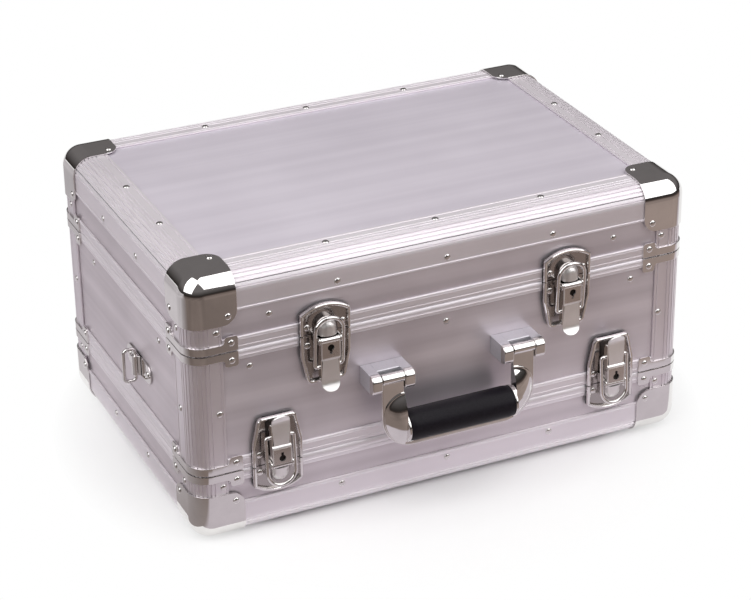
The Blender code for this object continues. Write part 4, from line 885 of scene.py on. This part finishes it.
def catch_parts():
    """A catch: pressed plate, the hook inside the bail and two rivets."""
    edge, floor, heads = pan_parts(catch_path(), 7.0)
    # The seat under the hook takes the darker plating: painted shade.
    return [edge, floor, (domed(*HOOK), SATIN, HERE), (domed(*SEAT), PAINTED_SHADE_PAN, HERE)] + heads


def plate_parts():
    """The lower plate of a latch: pressed plate, ears for the lever's pin and two rivets."""
    corners = [(-x, y, radius) for x, y, radius in PLATE_CORNERS] + list(PLATE_CORNERS[::-1])
    edge, floor, heads = pan_parts(softened(corners, 6, closed=False), -10.8)
    reach, height = 9.0, 15.2
    ear = [(-x * reach, y * height, radius) for x, y, radius in EAR_SHARES]
    ear = plate(softened(ear, 3), 9.6, 10.9)
    return [edge, floor, (ear, CHROME, SIDEWAYS), (ear, CHROME, MIRRORED @ SIDEWAYS)] + heads


def bent(profile):
    """A bend function along a profile of (up, outward) points, from distance along it and across."""
    lengths = [0.0]
    for a, b in zip(profile, profile[1:]):
        lengths.append(lengths[-1] + (Vector(b) - Vector(a)).length)

    def bend(s, u):
        for i in range(len(profile) - 1):
            if s <= lengths[i + 1] + 0.0001 or i == len(profile) - 2:
                share = (s - lengths[i]) / (lengths[i + 1] - lengths[i])
                v = profile[i][0] + (profile[i + 1][0] - profile[i][0]) * share
                n = profile[i][1] + (profile[i + 1][1] - profile[i][1]) * share
                return (u, v, n)

    return bend, lengths


def lever_parts():
    """The lever: key plate, its waist, thumb tab, flanges, knuckle and pin."""
    bend, lengths = bent(LEVER_FACE)
    fold, tab, end = lengths[2], lengths[6], lengths[-1]
    half, waist, tab_half, wall = 9.3, 7.4, 8.8, 1.3
    edge = [
        (0, half, 0.3), (fold - 0.5, half, 0.6), (fold + 2.0, waist, 1.2), (tab, tab_half, 1.5),
        (end, tab_half, tab_half - 0.4),
    ]
    outline = softened([(s, -u, radius) for s, u, radius in edge] + edge[::-1], 8)
    sheet = sheet_metal(outline, lengths[1:-1], bend, wall, 0.3)
    key_middle, key_radius, slot_half, slot_end = -10.3, 3.2, 1.3, -16.4
    keyhole = arc(0, key_middle, key_radius, -68, 248, 24) + [(-slot_half, slot_end), (slot_half, slot_end)]
    keyhole = prism(keyhole, 10, 20)
    key_plate = plate(oblong(-8.3, 8.3, -4.6, -20.2, 0.6, 0.6), 14.6, 15.0, 0.15)
    pivot, pivot_out, length, height = -3.2, 12.6, 50.4, 14.8
    flange = plate([(pivot - x * length, y * height) for x, y in FLANGE_SHARES], 8.0, 9.2, 0.2)
    to_pivot = SIDEWAYS @ shifted(pivot, pivot_out)
    return [
        (cut_by(sheet, keyhole), SATIN, HERE), (cut_by(key_plate, keyhole), KEY_PLATE, HERE),
        (flange, CHROME, SIDEWAYS), (flange, CHROME, MIRRORED @ SIDEWAYS),
        (rod(2.6, -9.2, 9.2, 0.4, 24), CHROME, to_pivot), (rod(1.2, -11.2, 11.2, 0.3, 16), CHROME, to_pivot),
    ]


def lock_parts():
    """The lock's barrel behind the keyhole, with its cam."""
    place = shifted(0, -10.5)
    return [(rod(4.6, 5.0, 13.2), STEEL, place), (plate(oblong(-1.6, 7, -1.6, 1.6), 3.0, 5.4), STEEL, place)]


def bail_parts():
    """The wire loop. Its ends turn in through the lever's flanges."""
    half, top, rise, foot, foot_out, top_out, radius = 13.4, 18.0, 12.8, -30.5, 9.0, 12.8, 1.8
    slope = (top_out - foot_out) / (top - foot)
    turns = spaced(0, pi, 25)
    arch = [(half * cos(turn), top - rise + rise * sin(turn)) for turn in turns]
    ending = [(7.7, foot), (11.2, foot), (12.4, foot + 0.3), (13.1, foot + 1.0), (half, foot + 2.1)]
    route = ending + arch + [(-u, v) for u, v in ending[::-1]]
    return [(tube([(u, v, foot_out + (v - foot) * slope) for u, v in route], radius), WIRE, HERE)]


def latches():
    """The four latches, each on its frame at a seam."""
    half_turn = Matrix.Rotation(pi, 4, "Z")
    rows = (("upper", 121.5, UPPER_SEAM, HERE, "lid"), ("lower", 171.0, LOWER_SEAM, half_turn, "base"))
    for side in SIDES:
        for row, offset, seam, turn, section in rows:
            place = on_face("front", side * offset, seam) @ turn
            groups = (
                ("catch", section, catch_parts(), "chrome"), ("plate", "body", plate_parts(), "chrome"),
                ("lever", None, lever_parts(), "chrome"), ("lock", None, lock_parts(), "lock_steel"),
                ("bail", None, bail_parts(), "chrome"),
            )
            for kind, body, parts, slot in groups:
                node = f"latch_{kind}_{row}_{SIDE_NAMES[side]}"
                piece(f"{node}_dressed", body or node, placed(parts, place), (node,), slot)


# Handle, drawn as (outward, up) or as (across, up)
ARM_SPREAD = 132.0
PIVOT_OUT = 22.6
PIVOT_LEVEL = 140.3
GRIP_OUT = 22.6
GRIP_LEVEL = 87.7
GRIP_RADIUS = 15.0
BRACKET_LEVELS = (127.5, 145.5)
BRACKET_BACK = -1.6
BOSS_PLACE = Vector((55.2, 92.0))
ALONG_GRIP = columns(Z, Y, -X, Vector((0, -HALF_DEPTH - GRIP_OUT, GRIP_LEVEL)))


def bracket_parts():
    """One handle bracket: cast block, slot, chrome barrels and pin."""
    cast = plate(oblong(BRACKET_BACK, 20.0, *BRACKET_LEVELS), 11.2, 21.0, 0.5)
    web = plate(oblong(BRACKET_BACK, 14.0, *BRACKET_LEVELS, 0, 1), -11.4, 11.4, 0.4)
    ear = plate(oblong(19.4, 27.8, *BRACKET_LEVELS, 0, 6.0, 10), 11.2, 21.2, 1.1)
    flip = Matrix.Diagonal((1, 1, -1, 1))
    return [
        (cast, CAST, HERE), (cast, CAST, flip), (web, CAST, HERE), (ear, CHROME, HERE), (ear, CHROME, flip),
        (rod(2.0, -12, 12, 0.2, 16), CHROME, shifted(PIVOT_OUT, PIVOT_LEVEL)),
    ]


def boss_reach(way):
    """How far the swelling reaches from its middle in one direction, found from outside in."""
    top, top_radius = Vector((BOSS_PLACE.x, 104)), 20.2
    corner, corner_radius = Vector((44.9, 99.5)), 30.8
    side, low, nearest, farthest, step = 75.4, 69.2, 5, 34.0, 0.05
    reach = farthest
    while reach > nearest:
        spot = BOSS_PLACE + way * reach
        over_top = spot.y > top.y and (spot - top).length > top_radius
        past_corner = spot.y < corner.y and (spot - corner).length > corner_radius
        if not over_top and not past_corner and spot.x < side and spot.y > low:
            break
        reach -= step
    return reach


def grip_boss():
    """The rounded swelling of the frame's corner round the grip's end, with a step at its rim."""
    foot, shoulder, crown = 24.4, 26.2, 33.6
    ways = [Vector((cos(turn), sin(turn))) for turn in spaced(pi / 2, -pi / 2, 49)]
    reaches = [way * boss_reach(way) for way in ways]
    levels = [(1.0, foot - 2), (1.0, foot + 1.3), (0.985, foot + 1.6), (0.965, foot + 1.75)]
    shares = spaced(0, 1, 15)
    levels += [(0.94 - 0.92 * t, shoulder + (crown - shoulder) * (1 - (1 - t) ** 2)) for t in shares]
    bm = bmesh.new()
    rows = [[bm.verts.new((*(BOSS_PLACE + reach * t), n)) for reach in reaches] for t, n in levels]
    for low, high in zip(rows, rows[1:]):
        bridged(bm, low, high, closed=False)
    bm.faces.new(rows[-1])
    bm.faces.new(rows[0][::-1])
    bm.faces.new([row[0] for row in rows] + [row[-1] for row in rows[::-1]])
    return to_mesh(bm)


def at_arm(side):
    """The place of one arm's frame, drawn as (outward, up)."""
    return shifted(side * ARM_SPREAD / 2, 0) @ along_face("front", 0)


def handle_parts():
    """The U frame with rounded edges, raised quarter discs at its corners, knuckles, collars and rod."""
    inner, outer, top, rail_top, rail_low = 55.1, 76.9, 137.7, 72.1, 67.5
    outline = softened([
        (-outer, top, 2), (-outer, rail_low, 32), (outer, rail_low, 32), (outer, top, 2),
        (inner, top, 2), (inner, rail_top, 4), (-inner, rail_top, 4), (-inner, top, 2),
    ], 12)
    place = on_face("front")
    parts = [(plate(outline, 20.3, 24.9, 1.0), CHROME, place)]
    parts += [(grip_boss(), CHROME, place), (grip_boss(), CHROME, place @ MIRRORED)]
    for side in SIDES:
        parts.append((rod(5.0, -10.8, 10.8, 0.5), CHROME, at_arm(side) @ shifted(PIVOT_OUT, PIVOT_LEVEL)))
        ends = sorted((side * (inner + 0.5), side * (inner - 2)))
        parts.append((rod(GRIP_RADIUS - 0.1, *ends, 0.7, 48), CHROME, ALONG_GRIP))
    return parts + [(rod(4.0, -inner, inner), CHROME, ALONG_GRIP)]


def grip_parts():
    """The round grip, slightly drawn in at its ends."""
    half, shape = 52.8, ((4.3, 0), (13.6, 0), (14.1, 0.3), (14.4, 1.2), (14.7, 3), (GRIP_RADIUS, 6))
    bend = [(radius, half - back) for radius, back in shape]
    profile = bend + [(radius, -z) for radius, z in bend[::-1]]
    return [(turned(profile + profile[:1], 64), GRIP, ALONG_GRIP)]


def handle():
    """The folding handle and its brackets."""
    for side in SIDES:
        name = f"handle_bracket_{SIDE_NAMES[side]}"
        piece(f"{name}_casting", "body", placed(bracket_parts(), at_arm(side)), (name,), "bracket")
    piece("handle_frame_chromed", "handle", handle_parts(), ("handle_frame",), "chrome")
    piece("handle_grip_sleeve", "handle", grip_parts(), ("handle_grip",), "grip")


# Strap rings, drawn as (across, outward, up)
def strap_rings():
    """The rings on the two ends with their plates."""
    base, face_out, tall, axis, saddle_radius = -1.6, -0.1, 10, 2.8, 3.8
    reach, half, wire_radius = 11.5, 16.5, 1.7
    saddle = arc(0, axis, saddle_radius, -15, 195, 24)
    right_half = [(8, base), (8, face_out), (5.3, face_out)]
    left_half = [(-x, n) for x, n in right_half[::-1]]
    section = plate(left_half[-1:] + right_half + saddle + left_half[:-1], -tall, tall, 0.4)
    oval = plate(oblong(-32, 32, -tall, tall, 9.5, 9.5, 8), base, face_out, 0.4)
    route = oblong(axis, axis + reach, -half, half, 4, 4, 6)
    ring_wire = tube([(0, n, v) for n, v in route], wire_radius, closed=True)
    flat = columns(X, Z, Y)
    for face in ("left", "right"):
        right, upward, outward, distance = FACES[face]
        place = columns(right, outward, upward, Vector((0, -33, 121)) + outward * distance)
        parts = [(section, CHROME, place), (oval, CHROME, place @ flat)]
        parts += [head(place @ shifted(side * 24, face_out) @ flat) for side in SIDES]
        piece(f"strap_plate_{face}_pressing", "body", parts, (f"strap_plate_{face}",), "chrome")
        name = f"strap_ring_{face}"
        piece(f"{name}_wire", name, [(ring_wire, WIRE, place)], (name,), "chrome")


# Hinges, drawn as (outward, away from the seam)
HINGE_RIVET_SHARES = (-0.92, -0.46, 0.0, 0.46, 0.92)


def hinge_leaf(node, body, seam, upward, carries_pin):
    """A long leaf with its knuckles, five rivets and, on one side, the pin."""
    half, count, axis, face, low, high, middle = 180.0, 7, 4.0, 1.7, 3.4, 18, 11.5
    knuckle_radius, pin_radius = 3.2, 1.5
    place = along_face("rear", seam, upward)
    at_axis = place @ shifted(axis, 0)
    parts = [(plate(oblong(-half, half, low, high), GAP, face), CHROME, place @ columns(Z, Y, X))]
    tab = [(GAP, 4.0), (GAP, 0.4), (3.6, -3.0), (axis, 0), (face, low), (face, 4.0)]
    for i in range(0 if carries_pin else 1, count, 2):
        start, end = (2 * half / count * k - half for k in (i, i + 1))
        parts.append((rod(knuckle_radius, start + GAP, end - GAP, 0.4, 24), CHROME, at_axis))
        parts.append((prism(tab, start + GAP, end - GAP), CHROME, place))
    if carries_pin:
        parts.append((rod(pin_radius, GAP - half, half - GAP, 0.2, 16), CHROME, at_axis))
    parts += [head(place @ columns(Y, Z, X, (face, middle, share * half))) for share in HINGE_RIVET_SHARES]
    piece(f"{node}_knuckled", body, parts, (node,), "chrome")


# Build
piece("lid_rim_frame_drawn", "lid", [
    *posts(UPPER_SEAM + GAP, TOP_PLANE - WALL_LEG - GAP), *upper_rim(UPPER_SEAM, height=12.5),
    *braces(UPPER_SEAM, 1), *corner_rivets(UPPER_SEAM + 20),
], ("lid_rim_frame",), "trim")
piece("body_frame_drawn", "body", [
    *posts(LOWER_SEAM + GAP, UPPER_SEAM - GAP), *lower_rim(UPPER_SEAM, height=10.0),
    *upper_rim(LOWER_SEAM, height=13.3), *braces(UPPER_SEAM, -1), *braces(LOWER_SEAM, 1),
    *corner_rivets((UPPER_SEAM + LOWER_SEAM) / 2),
], ("body_frame",), "trim")
piece("base_rim_frame_drawn", "base", [
    *posts(FLOOR_PLANE + WALL_LEG + GAP, LOWER_SEAM - GAP), *lower_rim(LOWER_SEAM, height=11.5),
    *braces(LOWER_SEAM, -1), *corner_rivets(LOWER_SEAM - 14.4),
], ("base_rim_frame",), "trim")
edge_frame("lid", "top", -1, top_rivets() + wall_edge_rivets(TOP_PLANE - WALL_RIVET_INSET))
edge_frame("base", "bottom", 1, wall_edge_rivets(FLOOR_PLANE + WALL_RIVET_INSET))
caps("lid", TOP_PLANE + CAP_PROUD, -1)
caps("base", 0, 1)
panels()
foam()
latches()
handle()
strap_rings()
hinge_leaf("hinge_leaf_lid", "lid", UPPER_SEAM, 1, carries_pin=False)
hinge_leaf("hinge_leaf_body_upper", "body", UPPER_SEAM, -1, carries_pin=True)
hinge_leaf("hinge_leaf_body_lower", "body", LOWER_SEAM, 1, carries_pin=True)
hinge_leaf("hinge_leaf_base", "base", LOWER_SEAM, -1, carries_pin=False)


# Studio
def flat_stage(name, outline, level, finish):
    """A flat stage piece over an outline."""
    mesh = bpy.data.meshes.new(name)
    mesh.from_pydata([(x, y, level) for x, y in outline], [], [range(len(outline))])
    mesh.materials.append(finish)
    obj = added(name, mesh)
    return obj


def area_light(name, place, target, size, power):
    """A soft rectangular light aimed at a point."""
    data = bpy.data.lights.new(name, "AREA")
    data.shape = "RECTANGLE"
    data.size, data.size_y = size
    data.energy = power
    obj = added(name, data)
    obj.location = place
    obj.rotation_euler = (Vector(target) - Vector(place)).to_track_quat("-Z", "Y").to_euler()


def floor_material():
    """A plain white floor that holds the shadow, and goes over into plain white further out."""
    made, nodes, shader = tree("studio_floor")
    fed(nodes, shader, {"Base Color": (0.93, 0.93, 0.93, 1), "Roughness": 0.9, "Specular IOR Level": 0.0})
    _, far = from_middle(nodes)
    path = linked(nodes, "ShaderNodeLightPath").outputs
    seen = maths(nodes, "MAXIMUM", path["Is Camera Ray"], path["Is Glossy Ray"])
    seen = maths(nodes, "MAXIMUM", seen, path["Is Transmission Ray"])
    mask = maths(nodes, "MULTIPLY", ranged(nodes, far, 0.0, 1.0, 0.22, 0.32), seen)
    white = linked(nodes, "ShaderNodeEmission", {"Color": (1, 1, 1, 1), "Strength": 1.0}).outputs[0]
    mixed = linked(nodes, "ShaderNodeMixShader", {0: mask, 1: shader.outputs[0], 2: white}).outputs[0]
    fed(nodes, nodes.nodes["Material Output"], {"Surface": mixed})
    return made


def card_material():
    """A warm grey card for reflections: darker to the left and further out, pale beside the case."""
    made, nodes, shader = tree("studio_card")
    place, far = from_middle(nodes)
    front = tinted(nodes, ranged(nodes, far, 0, 1, 0.5, 2.6), (0.36, 0.29, 0.26), (0.06, 0.045, 0.04))
    across, depth, _ = linked(nodes, "ShaderNodeSeparateXYZ", {0: place}).outputs
    dimmed = {0: front, "Scale": ranged(nodes, across, 0.70, 1.15, -0.15, 0.40)}
    front = linked(nodes, "ShaderNodeVectorMath", dimmed, operation="SCALE").outputs[0]
    beside = tinted(nodes, ranged(nodes, depth, 0, 1, -0.25, 0.05), front, (0.60, 0.57, 0.59))
    near, within = ranged(nodes, depth, 0, 1, -0.285, -0.265), ranged(nodes, across, 0, 1, -0.262, -0.248)
    shade = tinted(nodes, maths(nodes, "MULTIPLY", near, within), beside, (0.62, 0.565, 0.605))
    cloud = ranged(nodes, noise(nodes, 2.2, detail=2.0), 0, 1)
    uneven = {0: 1.0, 6: shade, 7: tinted(nodes, cloud, (0.72, 0.72, 0.72), (1.15, 1.15, 1.15))}
    lit = linked(nodes, "ShaderNodeMix", uneven, data_type="RGBA", blend_type="MULTIPLY").outputs[2]
    black = {"Base Color": (0, 0, 0, 1), "Specular IOR Level": 0.0}
    fed(nodes, shader, {**black, "Emission Color": lit, "Emission Strength": 1.0})
    return made


def reflected_card(outline, level):
    """A card on the floor in front, seen by metal and by nothing else."""
    card = flat_stage("reflected_card", outline, level, card_material())
    card.visible_camera = False
    card.visible_diffuse = False
    card.visible_shadow = False
    card.visible_transmission = False


STAGE_REACH = 8
CARD_OUTLINE = (
    (-STAGE_REACH, -STAGE_REACH), (STAGE_REACH, -STAGE_REACH), (STAGE_REACH, -0.165), (-0.262, -0.165),
    (-0.262, 0.5), (-1.2, 3.5), (-STAGE_REACH, 3.5),
)
CARD_LEVEL = 0.004
LIT_POINT = (0, 0, 0.2)
flat_stage("floor", oblong(-STAGE_REACH, STAGE_REACH, -STAGE_REACH, STAGE_REACH), 0.0, floor_material())
reflected_card(CARD_OUTLINE, CARD_LEVEL)
area_light("softbox_right", (0.95, -1.10, 1.70), LIT_POINT, (2.0, 3.2), 38)
area_light("softbox_left", (-1.25, -0.45, 1.55), LIT_POINT, (1.7, 2.6), 30)

world = bpy.data.worlds.new("studio")
bpy.context.scene.world = world
world.use_nodes = True
sky = world.node_tree
way = linked(sky, "ShaderNodeTexCoord").outputs["Generated"]
height = linked(sky, "ShaderNodeSeparateXYZ", {0: way}).outputs["Z"]
shade = tinted(sky, ranged(sky, height, 0, 1, 0.02, 0.42), (0.03, 0.026, 0.024), (0.17, 0.16, 0.16))
to_camera = linked(sky, "ShaderNodeLightPath").outputs["Is Camera Ray"]
backdrop = tinted(sky, to_camera, shade, (1, 1, 1))
sky.links.new(backdrop, sky.nodes["Background"].inputs["Color"])
bpy.context.scene.view_settings.view_transform = "Standard"

# Camera, fitted to the case's corners in the photograph
AZIMUTH, ELEVATION, ROLL = radians(-24.517), radians(26.981), radians(-0.818)
CAMERA_PLACE = Vector((-0.8621, -1.8895, 1.17977))
FOCAL_LENGTH, SENSOR_WIDTH = 115.4, 36
back = Vector((sin(AZIMUTH) * cos(ELEVATION), -cos(AZIMUTH) * cos(ELEVATION), sin(ELEVATION)))
level_right = (-back).cross(Z).normalized()
level_up = level_right.cross(-back)
right = level_right * cos(ROLL) + level_up * sin(ROLL)
up = level_up * cos(ROLL) - level_right * sin(ROLL)
camera_data = bpy.data.cameras.new("camera")
camera_data.lens = FOCAL_LENGTH
camera_data.sensor_width = SENSOR_WIDTH
camera = added("camera", camera_data)
camera.matrix_world = columns(right, up, back, CAMERA_PLACE)
bpy.context.scene.camera = camera
